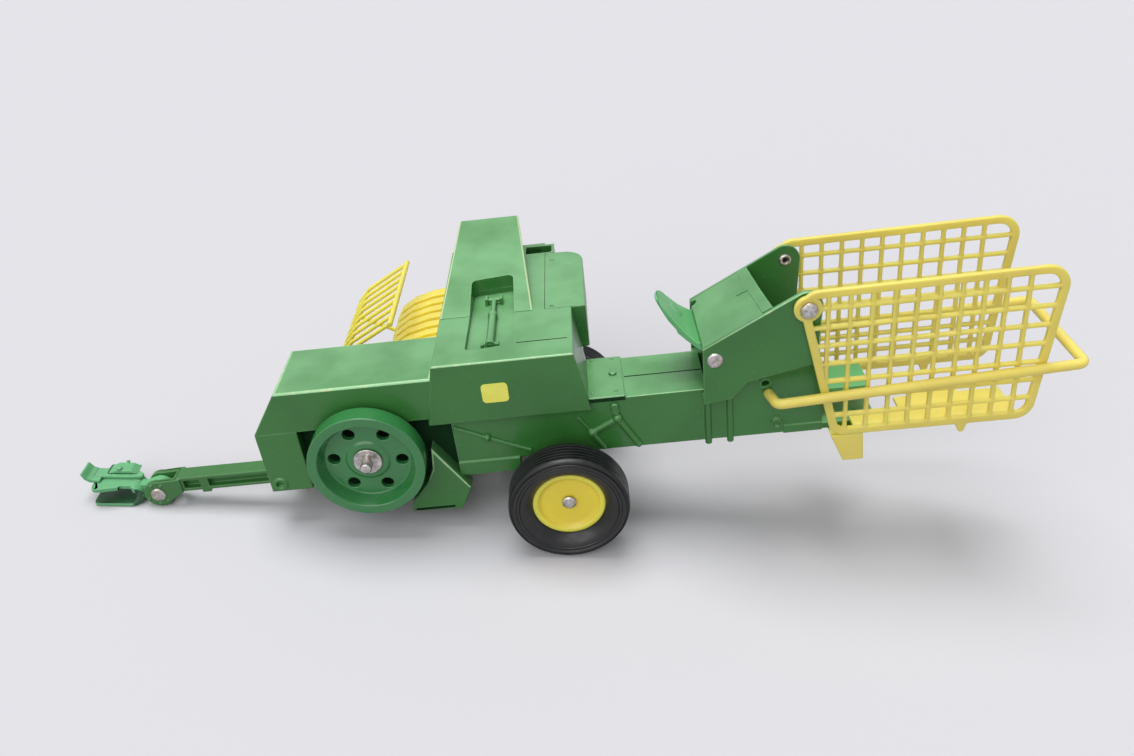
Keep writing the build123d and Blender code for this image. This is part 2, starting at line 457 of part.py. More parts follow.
tilted["cage_rivet_right"] = mirrored(cage_rivet)

# ---------------------------------------------------------------- pickup
STRIPPER = [(-48.0, 45.6), (-60.0, 44.4), (-70.0, 41.7), (-77.0, 37.2), (-80.6, 31.5), (-83.6, 24.0),
            (-83.0, 14.0), (-77.0, 5.0), (-67.0, 0.0), (-54.0, -0.6), (-48.0, 3.0)]
DRUM = [(-48.0, 42.6), (-60.0, 41.4), (-69.0, 39.0), (-74.8, 35.0), (-78.0, 30.0), (-80.6, 23.6),
        (-80.0, 15.2), (-75.0, 7.4), (-66.4, 3.0), (-54.8, 2.4), (-48.0, 6.0)]
stripper = slab(STRIPPER, PICK_Y0, PICK_Y0 + 2.0) + slab(STRIPPER, PICK_Y1 - 2.0, PICK_Y1)
stripper += slab(DRUM, PICK_Y0 + 2.0, PICK_Y1 - 2.0)
stripper -= slab([(-48.0, 40.6), (-60.0, 39.4), (-72.6, 33.6), (-78.0, 23.4), (-73.0, 9.4), (-56.0, 4.6),
                  (-48.0, 8.0)], PICK_Y0 + 2.0, PICK_Y1 - 2.0)
bands = 8
first = (PICK_Y0 + PICK_Y1) / 2 - PICK_PITCH * (bands - 1) / 2
for i in range(bands):
    y = first + PICK_PITCH * i
    stripper += slab(STRIPPER, y - PICK_BAND / 2, y + PICK_BAND / 2)
tilted["pickup"] = stripper
tilted["pickup_bracket"] = box(-62, -50, gear_w, PICK_Y0, 8, 24)

guard = rod(-70.8, 60.2, GUARD_R, PICK_Y0, PICK_Y1 + 0.5)
rods = 9
for i in range(rods):
    y = PICK_Y0 + 1.0 + (PICK_Y1 - PICK_Y0 - 2.0) / (rods - 1) * i
    points = [(-70.8, y, 60.2), (-91.6, y, 48.8), (-97.0, y, 43.0), (-101.6, y, 35.0)]
    if i in (0, rods - 1):
        points += [(-82.6, y, 24.0)]
    guard += bent(points, GUARD_ROD_R, 1.6)
tilted["pickup_guard"] = guard - slab(STRIPPER, PICK_Y0, PICK_Y1)

# ---------------------------------------------------------------- hitch coupler, level, about its rivet
length = -COUPLER_L
c_profile = [(length, -HITCH_R), (-9.0, -HITCH_R), (-6.6, -4.6), (-6.6, 1.4), (-9.0, 3.0),
             (length - 1.0, 3.0), (length, JAW_Z1), (-12.5, JAW_Z1), (-10.2, -0.6), (-10.2, -3.2),
             (-11.8, JAW_Z0), (length, JAW_Z0)]
coupler = slab(c_profile, COUPLER_Y0, COUPLER_Y1)
knuckle = FORK_GAP / 2 - SIDE_PLAY
eye = (TONGUE_Y - knuckle, TONGUE_Y + knuckle)
coupler += slab([(-6.6, -4.0), (-6.6, 1.4), (0, HITCH_R - 0.9), (0, -HITCH_R + 0.9)], *eye)
coupler += rod(0, 0, HITCH_R - 0.9, *eye)
coupler -= rod(0, 0, RIVET_R + RUN, *eye)
level["coupler"] = coupler
mid = (COUPLER_Y0 + COUPLER_Y1) / 2
latch = box(length - 2.4, -7.0, mid, COUPLER_Y1, 3.0, 4.6) + box(-24, -11, mid + 1, COUPLER_Y1, 4.6, 6.4)
latch += box(length - 4.0, length - 2.0, mid - 4.0, COUPLER_Y1, 3.0, 7.6)
latch += rod_z(HITCH_PIN_X + 1.0, mid + 2.4, HITCH_PIN_R, 6.4, 7.6)
level["coupler_latch"] = latch
level["hitch_pin"] = rod_z(HITCH_PIN_X, mid, HITCH_PIN_R, JAW_Z1 - HITCH_PIN_L, JAW_Z1)

# ---------------------------------------------------------------- tipped on to its tyres and drawbar
a = radians(PITCH)
tip = Pos(0, 0, TYRE_R) * Rot(0, -PITCH, 0)
hitch = (HITCH_X * cos(a) - HITCH_Z * sin(a), TYRE_R + HITCH_X * sin(a) + HITCH_Z * cos(a))
nodes = {name: tip * shape for name, shape in tilted.items()}
nodes.update({name: Pos(hitch[0], 0, hitch[1]) * shape for name, shape in level.items()})
boxes = [shape.bounding_box() for shape in nodes.values()]
low = [min(tuple(b.min)[i] for b in boxes) for i in range(3)]
high = [max(tuple(b.max)[i] for b in boxes) for i in range(3)]
CENTRE = (-(low[0] + high[0]) / 2, -(low[1] + high[1]) / 2, -low[2])

os.makedirs("parts", exist_ok=True)
for name, shape in nodes.items():
    export_step(Pos(*CENTRE) * shape, "parts/" + name + ".step")
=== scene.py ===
"""Toy square baler, a 1/16 scale die-cast and plastic model, built piece by piece over its CAD frame."""
import json
import math

import bmesh
import bpy
from mathutils import Matrix, Vector


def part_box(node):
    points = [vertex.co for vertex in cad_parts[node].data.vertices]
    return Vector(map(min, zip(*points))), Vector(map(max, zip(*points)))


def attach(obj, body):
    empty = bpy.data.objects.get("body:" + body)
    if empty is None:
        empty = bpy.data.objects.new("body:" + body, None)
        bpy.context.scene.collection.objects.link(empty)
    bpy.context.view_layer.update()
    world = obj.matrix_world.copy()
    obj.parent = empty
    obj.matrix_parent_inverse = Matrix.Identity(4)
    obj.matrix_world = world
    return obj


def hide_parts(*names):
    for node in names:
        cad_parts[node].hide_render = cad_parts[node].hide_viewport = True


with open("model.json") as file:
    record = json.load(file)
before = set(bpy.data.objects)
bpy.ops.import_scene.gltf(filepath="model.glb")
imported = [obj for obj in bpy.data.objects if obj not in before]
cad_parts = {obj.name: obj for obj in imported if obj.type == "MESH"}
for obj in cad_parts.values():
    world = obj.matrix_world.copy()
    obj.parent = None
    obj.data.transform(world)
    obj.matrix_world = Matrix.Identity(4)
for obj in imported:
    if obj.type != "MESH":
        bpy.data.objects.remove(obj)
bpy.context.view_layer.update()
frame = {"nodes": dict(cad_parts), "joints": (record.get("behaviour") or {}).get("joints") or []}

bl_info = {
    "name": "Toy Square Baler",
    "version": (1, 0, 0),
    "blender": (4, 5, 0),
    "location": "3D View > Sidebar > Baler",
    "description": "Builds a die-cast toy square baler with its bale cage, wheels and hitch",
    "category": "Add Mesh",
}

JOINT = {j["name"]: Vector(j["pos_m"]) for j in frame["joints"]}

# The baler is drawn level, in millimetres: X = 0 and Z = 0 on the wheel axle, Y = 0 on the bale
# chamber's centre line, +X to the rear.  LEVEL then tips it on to its tyres and drawbar.
FLYWHEEL_X, FLYWHEEL_Z = -80.3, 24.6
HALF, CHAMBER_TOP, BOX_TOP = 15.5, 38.4, 63.3     # chamber's half width, its roof and the twine box's top
POCKET = [(-35.2, -9.0), (-15.4, -6.5), (-16.4, 45.0), (-34.6, 43.0)]    # feeder cylinder's pocket: x, y
POCKET_Z, RAM_X = BOX_TOP - 2.6, -25.2            # the pocket's floor and the cylinder's axis
PLATE_Y, PIVOT, EAR = 21.5, (62.9, 55.3), (98.2, 75.0)   # thrower plates, their pivot and their cage rivet
ROOF_X, ROOF_Z = 58.5, 60.6                       # front edge of the thrower's sloping cover
BLADE_MARK = (51.6, 7.0, 64.02)                   # oval mark on the lever's blade
BLADE_TURN = math.atan2(5.2, 4.4)                 # slope of the blade there
CAGE_Y = 24.9                                     # outer face of the cage panels
LABEL = (-24.4, 48.8, 10.7, 8.8)                  # blank plate on the twine box: x, z, width and height
LABEL_Y = (-19.35, -18.9)                         # its outer face, and the box's wall behind it
TYRE_R, TYRE_W, TYRE_Y = 25.0, 14.6, (-37.6, 59.1)       # tyres, with their outer faces left and right
RIM_R, BEAD_R = 13.5, 15.1                        # hub's seat for the tyre, and the tyre's inner edge
AXLE_R = 2.38                                     # wheel axle and flywheel stub
HITCH, BAR_Y = (-179.5, 6.3), (-8.0, 2.0)         # hitch rivet, and the drawbar's faces under its ends
RIVET_R, HEAD_R, TAIL_R = 1.6, 3.3, 2.6           # rivets: shank, pan head and closed end
SIDES = (("left", -1), ("right", 1))              # each side's name and its direction along Y
SECOND, THIRD = 1, 2                              # places in a piece's list of finishes
WELD_MM, WELD_M = 0.004, 2e-6                     # points closer than this are made one
TABLE_HALF, TABLE_DROP = 6.0, 0.0002              # table's half width and its depth under the tyres, metres
AXLE, FLYWHEEL = JOINT["wheel_left_spin"], JOINT["flywheel_spin"]
MID_Y = (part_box("chamber_left")[0].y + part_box("chamber_right")[1].y) / 2
PITCH = math.atan2(FLYWHEEL.z - AXLE.z, FLYWHEEL.x - AXLE.x) - math.atan2(FLYWHEEL_Z, FLYWHEEL_X)
LEVEL = (Matrix.Translation((AXLE.x, MID_Y, AXLE.z)) @ Matrix.Rotation(-PITCH, 4, "Y")
         @ Matrix.Scale(0.001, 4))
COUPLER = (Matrix.Translation((JOINT["coupler_pitch"].x, MID_Y, JOINT["coupler_pitch"].z))
           @ Matrix.Scale(0.001, 4))


# ------------------------------ mesh helpers
def prism(outline, y0, y1):
    """Solid over a closed (x, z) outline, from y0 to y1."""
    bm = bmesh.new()
    near = [bm.verts.new((x, y0, z)) for x, z in outline]
    far = [bm.verts.new((x, y1, z)) for x, z in outline]
    bm.faces.new(near)
    bm.faces.new(reversed(far))
    for i in range(len(outline)):
        j = (i + 1) % len(outline)
        bm.faces.new((near[j], near[i], far[i], far[j]))
    bmesh.ops.recalc_face_normals(bm, faces=bm.faces[:])
    return bm


def plate(outline, z0, z1):
    """Solid over a closed (x, y) outline, from z0 to z1."""
    bm = prism(outline, z0, z1)
    bm.transform(Matrix(((1, 0, 0, 0), (0, 0, 1, 0), (0, 1, 0, 0), (0, 0, 0, 1))))
    bmesh.ops.recalc_face_normals(bm, faces=bm.faces[:])
    return bm


def rectangle(x0, x1, y0, y1):
    return [(x0, y0), (x1, y0), (x1, y1), (x0, y1)]


def block(x0, x1, y0, y1, z0, z1):
    return prism(rectangle(x0, x1, z0, z1), y0, y1)


def rounded(points, radius, steps=5):
    """Closed 2D outline with its corners rounded; radius is one number or one for each corner."""
    radii = radius if hasattr(radius, "__len__") else [radius] * len(points)
    out = []
    for i, r in enumerate(radii):
        here, back, on = (Vector(points[k % len(points)]) for k in (i, i - 1, i + 1))
        if r <= 0:
            out.append(tuple(here))
            continue
        a, b = (back - here).normalized(), (on - here).normalized()
        half = a.angle(b) / 2
        reach = min(r / math.tan(half), (back - here).length * 0.49, (on - here).length * 0.49)
        r = reach * math.tan(half)
        centre = here + (a + b).normalized() * (r / math.sin(half))
        start, end = here + a * reach - centre, here + b * reach - centre
        sweep = start.angle_signed(end)
        for k in range(steps + 1):
            turn = -sweep * k / steps
            out.append((centre.x + start.x * math.cos(turn) - start.y * math.sin(turn),
                        centre.y + start.x * math.sin(turn) + start.y * math.cos(turn)))
    return out


def lathe(profile, x, z, steps=72, closed=True):
    """Solid of revolution about an axle along Y, from (radius, y) corners."""
    bm = bmesh.new()
    rings = []
    for r, y in profile:
        if r < 1e-6:
            rings.append([bm.verts.new((x, y, z))])
            continue
        rings.append([bm.verts.new((x + r * math.cos(math.tau * k / steps), y,
                                    z + r * math.sin(math.tau * k / steps))) for k in range(steps)])
    pairs = list(zip(rings, rings[1:])) + ([(rings[-1], rings[0])] if closed else [])
    for a, b in pairs:
        for k in range(steps):
            quad = [a[k % len(a)], a[(k + 1) % len(a)], b[(k + 1) % len(b)], b[k % len(b)]]
            corners = list(dict.fromkeys(quad))
            if len(corners) > 2:
                bm.faces.new(corners)
    bmesh.ops.recalc_face_normals(bm, faces=bm.faces[:])
    return bm


def rod(start, end, r0, r1=None, steps=32):
    """Round bar or cone between two points."""
    start, end = Vector(start), Vector(end)
    r1 = r0 if r1 is None else r1
    bm = bmesh.new()
    bmesh.ops.create_cone(bm, cap_ends=True, segments=steps, radius1=r0, radius2=r1,
                          depth=(end - start).length)
    turn = (end - start).to_track_quat("Z", "Y").to_matrix().to_4x4()
    bm.transform(Matrix.Translation((start + end) / 2) @ turn)
    return bm


def ball(x, y, z, radius, flat=1.0, steps=20):
    """Round boss sunk in a wall; flat squeezes it along Z."""
    bm = bmesh.new()
    bmesh.ops.create_uvsphere(bm, u_segments=steps, v_segments=steps // 2, radius=radius)
    bm.transform(Matrix.Translation((x, y, z)) @ Matrix.Diagonal((1.0, 1.0, flat, 1.0)))
    return bm


def stood(bm, x, y, z):
    """Turns a piece lathed at the origin, rising towards -Y, to stand upright at a point."""
    bm.transform(Matrix.Translation((x, y, z)) @ Matrix.Rotation(-math.pi / 2, 4, "X"))
    return bm


def arc(x, z, radius, start, end, steps=14):
    """Points round part of a circle, in degrees."""
    turns = [math.radians(start + (end - start) * k / steps) for k in range(steps + 1)]
    return [(x + radius * math.cos(t), z + radius * math.sin(t)) for t in turns]


def dome(x, z, y, out, radius, height, steps=40):
    """Pan head of a rivet on an axle along Y: it stands on y and rises towards out, which is -1 or 1."""
    rows = [(1.0, 0.0), (1.0, 0.28), (0.95, 0.55), (0.82, 0.8), (0.6, 0.94), (0.3, 1.0), (0.0, 1.0)]
    profile = [(0.0, y)] + [(radius * r, y + out * height * h) for r, h in rows]
    return lathe(profile, x, z, steps, closed=False)


def riveted(x, z, y0, y1, rise, sunk=0.0):
    """Rivet along Y: its pan head stands on y0 and its closed end on y1."""
    return joined(rod((x, y0 - sunk, z), (x, y1 + sunk, z), RIVET_R), dome(x, z, y0, -1, HEAD_R, rise),
                  dome(x, z, y1, 1, TAIL_R, 0.9))


def joined(*solids):
    """Several solids in one mesh, kept apart."""
    bm = bmesh.new()
    for solid in solids:
        mesh = bpy.data.meshes.new("part")
        solid.to_mesh(mesh)
        solid.free()
        bm.from_mesh(mesh)
        bpy.data.meshes.remove(mesh)
    return bm


def combined(bm, tools, operation="DIFFERENCE"):
    """Cuts the tools out of a solid, or fuses them to it."""
    for tool in tools:
        objs = []
        for solid in (bm, tool):
            mesh = bpy.data.meshes.new("work")
            solid.to_mesh(mesh)
            solid.free()
            objs.append(bpy.data.objects.new("work", mesh))
            bpy.context.scene.collection.objects.link(objs[-1])
        boolean = objs[0].modifiers.new("cut", "BOOLEAN")
        boolean.object, boolean.operation, boolean.solver = objs[1], operation, "EXACT"
        depsgraph = bpy.context.evaluated_depsgraph_get()
        bm = bmesh.new()
        bm.from_mesh(objs[0].evaluated_get(depsgraph).to_mesh())
        for obj in objs:
            mesh = obj.data
            bpy.data.objects.remove(obj)
            bpy.data.meshes.remove(mesh)
    return bm


def cleaned(bm):
    """Merges doubled points and the triangles of each flat face."""
    bmesh.ops.remove_doubles(bm, verts=bm.verts[:], dist=WELD_MM)
    bmesh.ops.dissolve_limit(bm, angle_limit=math.radians(0.6), verts=bm.verts[:], edges=bm.edges[:])
    return bm


def from_cad(node):
    """The CAD node's shape, level and in millimetres, to be worked on as a new mesh."""
    bm = bmesh.new()
    bm.from_mesh(frame["nodes"][node].data)
    bm.transform(LEVEL.inverted())
    return cleaned(bm)


def softened(bm, edge, segments=3, pick=None, sharper=30.0, finish=-1):
    """Rounds the sharp edges, or those that pick accepts by their middle and direction.

    finish is the place of the new faces' material in the piece's list."""
    chosen = []
    for e in bm.edges:
        if len(e.link_faces) != 2 or e.calc_face_angle(0.0) < math.radians(sharper):
            continue
        a, b = e.verts[0].co, e.verts[1].co
        if pick is None or pick((a + b) / 2, (b - a).normalized()):
            chosen.append(e)
    if chosen:
        bmesh.ops.bevel(bm, geom=chosen, offset=edge, offset_type="OFFSET", segments=segments, profile=0.5,
                        affect="EDGES", clamp_overlap=False, material=finish)
    return bm


def paint_shade_inside(bm, x0, x1, y0, y1, z0, z1, finish):
    """Gives the faces inside a box their own finish, by its place in the piece's list; the script uses it to
    paint shade, with a dark finish, in grooves, under a lip and in the coupler's jaw.
    """
    for face in bm.faces:
        c = face.calc_center_median()
        if x0 < c.x < x1 and y0 < c.y < y1 and z0 < c.z < z1:
            face.material_index = finish
    return bm


def grooved(bm, x0, x1, y0, y1, top, depth, finish, others=()):
    """Cuts a groove and any other tools into a flat top, and gives the groove's inside its own finish: in
    this script the dark enamel that paints shade there.
    """
    bm = combined(bm, [*others, block(x0, x1, y0, y1, top - depth, top + 1)])
    return paint_shade_inside(bm, x0 - 0.2, x1 + 0.2, y0 - 0.12, y1 + 0.12, top - depth - 0.1, top - 0.1, finish)


def piece(name, bm, body, material, replaces, slot, place=LEVEL, smooth=40.0, flat=False):
    """Makes a placed object of the mesh and lets it ride on its body; material is one finish or a tuple."""
    bm.transform(place)
    bmesh.ops.remove_doubles(bm, verts=bm.verts[:], dist=WELD_M)
    mesh = bpy.data.meshes.new(name)
    bm.to_mesh(mesh)
    bm.free()
    for layer in material if isinstance(material, tuple) else (material,):
        mesh.materials.append(layer)
    if not flat:
        mesh.shade_smooth()
        mesh.set_sharp_from_angle(angle=math.radians(smooth))
    obj = bpy.data.objects.new(name, mesh)
    bpy.context.scene.collection.objects.link(obj)
    if not flat:
        weighted = obj.modifiers.new("flat faces stay flat", "WEIGHTED_NORMAL")
        weighted.keep_sharp = True
    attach(obj, body)
    if replaces:
        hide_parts(*replaces)
    return obj


def casting(name, bm, material, *replaced, **settings):
    """Painted piece of the chassis."""
    return piece(name, bm, "chassis", material, replaced, "green_paint", **settings)


def steel(context, name, bm, *replaced):
    """Zinc-plated piece of the chassis."""
    return piece(name, bm, "chassis", finish(context, "steel"), replaced, "zinc_plated_steel")


# ------------------------------ materials
def linear(code):
    """Linear colour of an sRGB hex value."""
    channels = [int(code[i:i + 2], 16) / 255 for i in (1, 3, 5)]
    return tuple(c / 12.92 if c <= 0.04045 else ((c + 0.055) / 1.055) ** 2.4 for c in channels) + (1.0,)


def node(tree, kind, inputs=None, **settings):
    """Adds a node: settings are its properties, and inputs its sockets' values or what feeds them."""
    made = tree.nodes.new("ShaderNode" + kind)
    for key, value in settings.items():
        setattr(made, key, value)
    for key, value in (inputs or {}).items():
        if isinstance(value, bpy.types.NodeSocket):
            tree.links.new(value, made.inputs[key])
        else:
            made.inputs[key].default_value = value
    return made


def surface(name, **sockets):
    """New material with one Principled shader; returns it, its tree, the shader and its place in metres."""
    material = bpy.data.materials.new(name)
    material.use_nodes = True
    tree = material.node_tree
    shader = tree.nodes["Principled BSDF"]
    for key, value in sockets.items():
        shader.inputs[key.replace("_", " ")].default_value = value
    return material, tree, shader, node(tree, "TexCoord").outputs["Object"]


def coloured(tree, shader, paint):
    tree.links.new(paint, shader.inputs["Base Color"])


def darker(colour, by):
    return tuple(c * by for c in colour[:3]) + (1.0,)


def times(tree, factor, by):
    """Multiplies a factor by a number or by another factor."""
    return node(tree, "Math", {0: factor, 1: by}, operation="MULTIPLY").outputs[0]


def noise(tree, place, size_mm, detail):
    """Noise of a real grain size."""
    made = node(tree, "TexNoise", {"Vector": place, "Scale": 1000.0 / size_mm, "Detail": detail})
    return made.outputs["Fac"]


def speckle(tree, place, size_mm, low, high, detail=3.0):
    """Noise stretched so that low to high becomes 0 to 1."""
    grain = noise(tree, place, size_mm, detail)
    return node(tree, "MapRange", {"Value": grain, "From Min": low, "From Max": high},
                interpolation_type="SMOOTHSTEP").outputs["Result"]


def clouds(tree, place, size_mm, least, most):
    """Soft patches that run from least to most."""
    patches = speckle(tree, place, size_mm, 0.3, 0.7)
    return node(tree, "MapRange", {"Value": patches, "To Min": least, "To Max": most}).outputs["Result"]


def dulled(tree, shader, place, size_mm, least, most):
    """Varies the roughness in patches."""
    tree.links.new(clouds(tree, place, size_mm, least, most), shader.inputs["Roughness"])


def edge_mask(tree, radius_mm, gain=6.0):
    """0 on open faces, rising to 1 along edges."""
    soft = node(tree, "Bevel", {"Radius": radius_mm / 1000}, samples=6)
    true = node(tree, "NewGeometry")
    dot = node(tree, "VectorMath", {0: soft.outputs["Normal"], 1: true.outputs["Normal"]},
               operation="DOT_PRODUCT")
    off = node(tree, "Math", {0: 1.0, 1: dot.outputs["Value"]}, operation="SUBTRACT")
    return node(tree, "Math", {0: off.outputs[0], 1: gain}, operation="MULTIPLY",
                use_clamp=True).outputs[0]


def blended(tree, amount, first, second):
    """Mixes two colours by a factor."""
    return node(tree, "Mix", {0: amount, 6: first, 7: second}, data_type="RGBA").outputs[2]


def relief(tree, shader, layers, rounding_mm=0.0):
    """Feeds the shader's normal from (height, depth in mm, strength) layers over rounded edges."""
    normal = None
    if rounding_mm:
        normal = node(tree, "Bevel", {"Radius": rounding_mm / 1000}, samples=6).outputs["Normal"]
    for height, depth_mm, strength in layers:
        bump = node(tree, "Bump", {"Height": height, "Distance": depth_mm / 1000, "Strength": strength})
        if normal is not None:
            tree.links.new(normal, bump.inputs["Normal"])
        normal = bump.outputs["Normal"]
    tree.links.new(normal, shader.inputs["Normal"])


def nicked(tree, place, paint, bare):
    """Chips of a few millimetres knocked off an edge, down to the primer."""
    return blended(tree, times(tree, speckle(tree, place, 2.6, 0.55, 0.62), 0.55), paint, bare)


def dusted_and_top_lit(tree, place, paint, film):
    """Pales the faces that look up in patches, towards the film colour: dust, and painted light from above.
    """
    up = node(tree, "SeparateXYZ", {"Vector": node(tree, "NewGeometry").outputs["Normal"]}).outputs["Z"]
    flat = node(tree, "MapRange", {"Value": up, "From Min": 0.5, "From Max": 0.85}).outputs["Result"]
    return blended(tree, times(tree, flat, clouds(tree, place, 26.0, 0.24, 0.5)), paint, film)


def sprayed_enamel(name, colour, pale, bare=None, film=True, dry=False):
    """Enamel sprayed over a zinc die casting: orange peel, edges paler from thin paint and partly as a
    painted highlight, dust and dull patches.

    bare chips it, film pales the faces that look up in patches with dust and painted light from above, and
    dry leaves it matt."""
    material, tree, shader, place = surface(name, IOR=1.25 if dry else 1.48, Coat_Weight=0.0 if dry else 0.15,
                                            Coat_Roughness=0.1)
    patches = speckle(tree, place, 34.0, 0.35, 0.68)      # thickness varies over a few centimetres
    grit = speckle(tree, place, 1.3, 0.66, 0.78, 2.0)     # dust under the paint
    paint = blended(tree, patches, colour, darker(colour, 0.86))
    paint = blended(tree, times(tree, grit, 0.12), paint, pale)
    # edges paled in speckles: thin paint, and partly a painted highlight along them
    worn = times(tree, edge_mask(tree, 0.9), speckle(tree, place, 4.0, 0.25, 0.6))
    paint = blended(tree, times(tree, worn, 0.24), paint, pale)
    # with bare set, edges chip to primer; otherwise the faces that look up are paled with dust and painted
    # top light, in the film colour
    if bare:
        paint = nicked(tree, place, paint, bare)
    elif film:
        paint = dusted_and_top_lit(tree, place, paint, linear("#93d296"))
    coloured(tree, shader, paint)
    dulled(tree, shader, place, 11.0, *((0.8, 0.95) if dry else (0.27, 0.42)))
    peel, wave = noise(tree, place, 1.6, 1.5), noise(tree, place, 16.0, 1.0)
    relief(tree, shader, [(wave, 0.35, 0.5), (peel, 0.035, 0.5), (grit, 0.05, 0.35)], 0.3)
    return material


def moulded_plastic(name, colour, pale, ior, rough, clear=0.1, grain_mm=0.7, rounding_mm=0.3, depth=0.02):
    """Injection-moulded plastic: faint flow clouds, soft gloss and scuffed edges.

    clear is how much light glows through it."""
    material, tree, shader, place = surface(name, IOR=ior, Subsurface_Weight=clear, Subsurface_Scale=0.0032)
    shader.inputs["Subsurface Radius"].default_value = (1.0, 0.9, 0.5)
    base = blended(tree, speckle(tree, place, 22.0, 0.3, 0.7), colour, darker(colour, 0.9))
    coloured(tree, shader, blended(tree, times(tree, edge_mask(tree, 0.6, 4.0), 0.4), base, pale))
    dulled(tree, shader, place, 5.0, rough - 0.05, rough + 0.1)
    grain, sink = noise(tree, place, grain_mm, 2.0), noise(tree, place, 12.0, 0.5)
    relief(tree, shader, [(sink, 0.25, 0.4), (grain, depth, 0.5)], rounding_mm)
    return material


def zinc_plated_steel():
    """Zinc-plated rivet steel: bright grey with cloudy plating, brown stains and fine scratches."""
    material, tree, shader, place = surface("Zinc-plated steel", Metallic=1.0)
    plating = blended(tree, speckle(tree, place, 2.2, 0.3, 0.7), linear("#cdcac8"), linear("#a7a5a6"))
    stain = times(tree, speckle(tree, place, 1.6, 0.44, 0.64), 0.55)
    coloured(tree, shader, blended(tree, stain, plating, linear("#8a7252")))
    dulled(tree, shader, place, 0.9, 0.28, 0.5)
    relief(tree, shader, [(noise(tree, place, 0.5, 3.0), 0.02, 0.4)], 0.2)
    return material


def tyre_rubber():
    """Moulded black vinyl tyre, with pale dust lying on it in patches."""
    material, tree, shader, place = surface("Moulded black tyre vinyl", IOR=1.5)
    dust = times(tree, speckle(tree, place, 7.0, 0.42, 0.72), speckle(tree, place, 0.9, 0.35, 0.7))
    dust = times(tree, dust, 0.3)
    coloured(tree, shader, blended(tree, dust, linear("#0f1011"), linear("#434446")))
    dulled(tree, shader, place, 4.0, 0.3, 0.46)
    relief(tree, shader, [(noise(tree, place, 0.6, 3.0), 0.03, 0.6)], 0.15)
    return material


def label_vinyl():
    """Blank yellow vinyl label: satin film with a faint ripple."""
    material, tree, shader, place = surface("Yellow label vinyl", IOR=1.5, Roughness=0.4, Coat_Weight=0.3,
                                            Coat_Roughness=0.2)
    fade = speckle(tree, place, 5.0, 0.3, 0.7)
    coloured(tree, shader, blended(tree, fade, linear("#fbf76e"), linear("#f2ee5e")))
    relief(tree, shader, [(noise(tree, place, 3.0, 1.0), 0.06, 0.5)])
    return material


def studio_paper():
    """Matt pale table covering, which throws only part of its light back on to the baler's sides."""
    material, tree, shader, _ = surface("Matt table paper", IOR=1.45, Roughness=0.8, Specular_IOR_Level=0.2)
    bounce = node(tree, "LightPath").outputs["Is Diffuse Ray"]
    coloured(tree, shader, blended(tree, bounce, linear("#d2d1d5"), linear("#a4a4a7")))
    return material


# ------------------------------ sizes and colours
def length(name, description, mm):
    return bpy.props.FloatProperty(name=name, description=description, default=mm / 1000, min=0.0,
                                   precision=5, subtype="DISTANCE", unit="LENGTH")


def colour(name, description, code):
    return bpy.props.FloatVectorProperty(name=name, description=description, default=linear(code)[:3],
                                         min=0.0, max=1.0, subtype="COLOR", size=3)


class BalerSizes(bpy.types.PropertyGroup):
    """Sizes of the details that the CAD frame leaves plain."""
    casting_edge: length("Casting edge", "Rounding of the die castings' outer edges", 0.7)
    sheet_edge: length("Sheet edge", "Rounding of the pressed plates' edges", 0.4)
    plastic_edge: length("Plastic edge", "Rounding of the moulded plastic's edges", 0.5)
    tyre_rib: length("Tyre rib", "Height of the ribs round the tyres", 0.8)


class BalerColours(bpy.types.PropertyGroup):
    """Colours of the finishes."""
    enamel: colour("Enamel", "Green of the sprayed castings", "#377734")
    # pale enamel: thin paint on edges, and the painted highlight along the worn top edges
    enamel_pale: colour("Pale enamel", "Enamel thin on an edge, with painted highlight", "#9ed39a")
    # primer: colour of chips down to the primer; on the feeder cover's edges it is also a painted highlight
    primer: colour("Primer", "Primer bared, with painted highlight, along the feeder cover's edges", "#cfd4a0")
    # inner: dark enamel painted as shade inside castings, in grooves and slots and under a lip
    inner: colour("Inner enamel", "Dark enamel painted as shade in the castings", "#12351a")
    green: colour("Green plastic", "Green of the moulded flywheel", "#368246")
    lever: colour("Light green plastic", "Green of the thrower's lever", "#66b873")
    # jaw: dark green painted as shade inside the coupler's jaw
    jaw: colour("Jaw green", "Dark green painted as shade in the coupler's jaw", "#2b5a38")
    coupler: colour("Coupler green", "Green of the hitch coupler", "#67b47b")
    yellow: colour("Yellow plastic", "Yellow of the pickup", "#f2e05c")
    cage: colour("Pale yellow plastic", "Yellow of the cage", "#eedc6e")
    hub: colour("Hub yellow", "Yellow of the wheel hubs' lips", "#ffee54")
    # dish: deeper yellow painted as shade in the hubs' recessed dish
    dish: colour("Dish yellow", "Deeper yellow in the dish of the hubs", "#ffe342")


class StageSettings(bpy.types.PropertyGroup):
    """Camera and light."""
    key: bpy.props.FloatProperty(name="Key light", default=2.2, min=0.0,
                                 description="Irradiance of the broad light overhead, in W/m2")
    fill: bpy.props.FloatProperty(name="Fill light", default=1.5, min=0.0,
                                  description="Irradiance from beside the camera, in W/m2")
    lens: bpy.props.FloatProperty(name="Lens", description="Focal length on a 36 mm wide sensor",
                                  default=31.094, min=1.0, unit="CAMERA")
    place: bpy.props.FloatVectorProperty(name="Camera place", description="Camera position", size=3,
                                         default=(-0.00851, -0.37236, 0.28279), subtype="TRANSLATION",
                                         unit="LENGTH")
    turn: bpy.props.FloatVectorProperty(name="Camera turn", description="Camera rotation, as XYZ angles",
                                        size=3, subtype="EULER", unit="ROTATION",
                                        default=tuple(math.radians(a) for a in (57.951, -1.9615, -0.9552)))


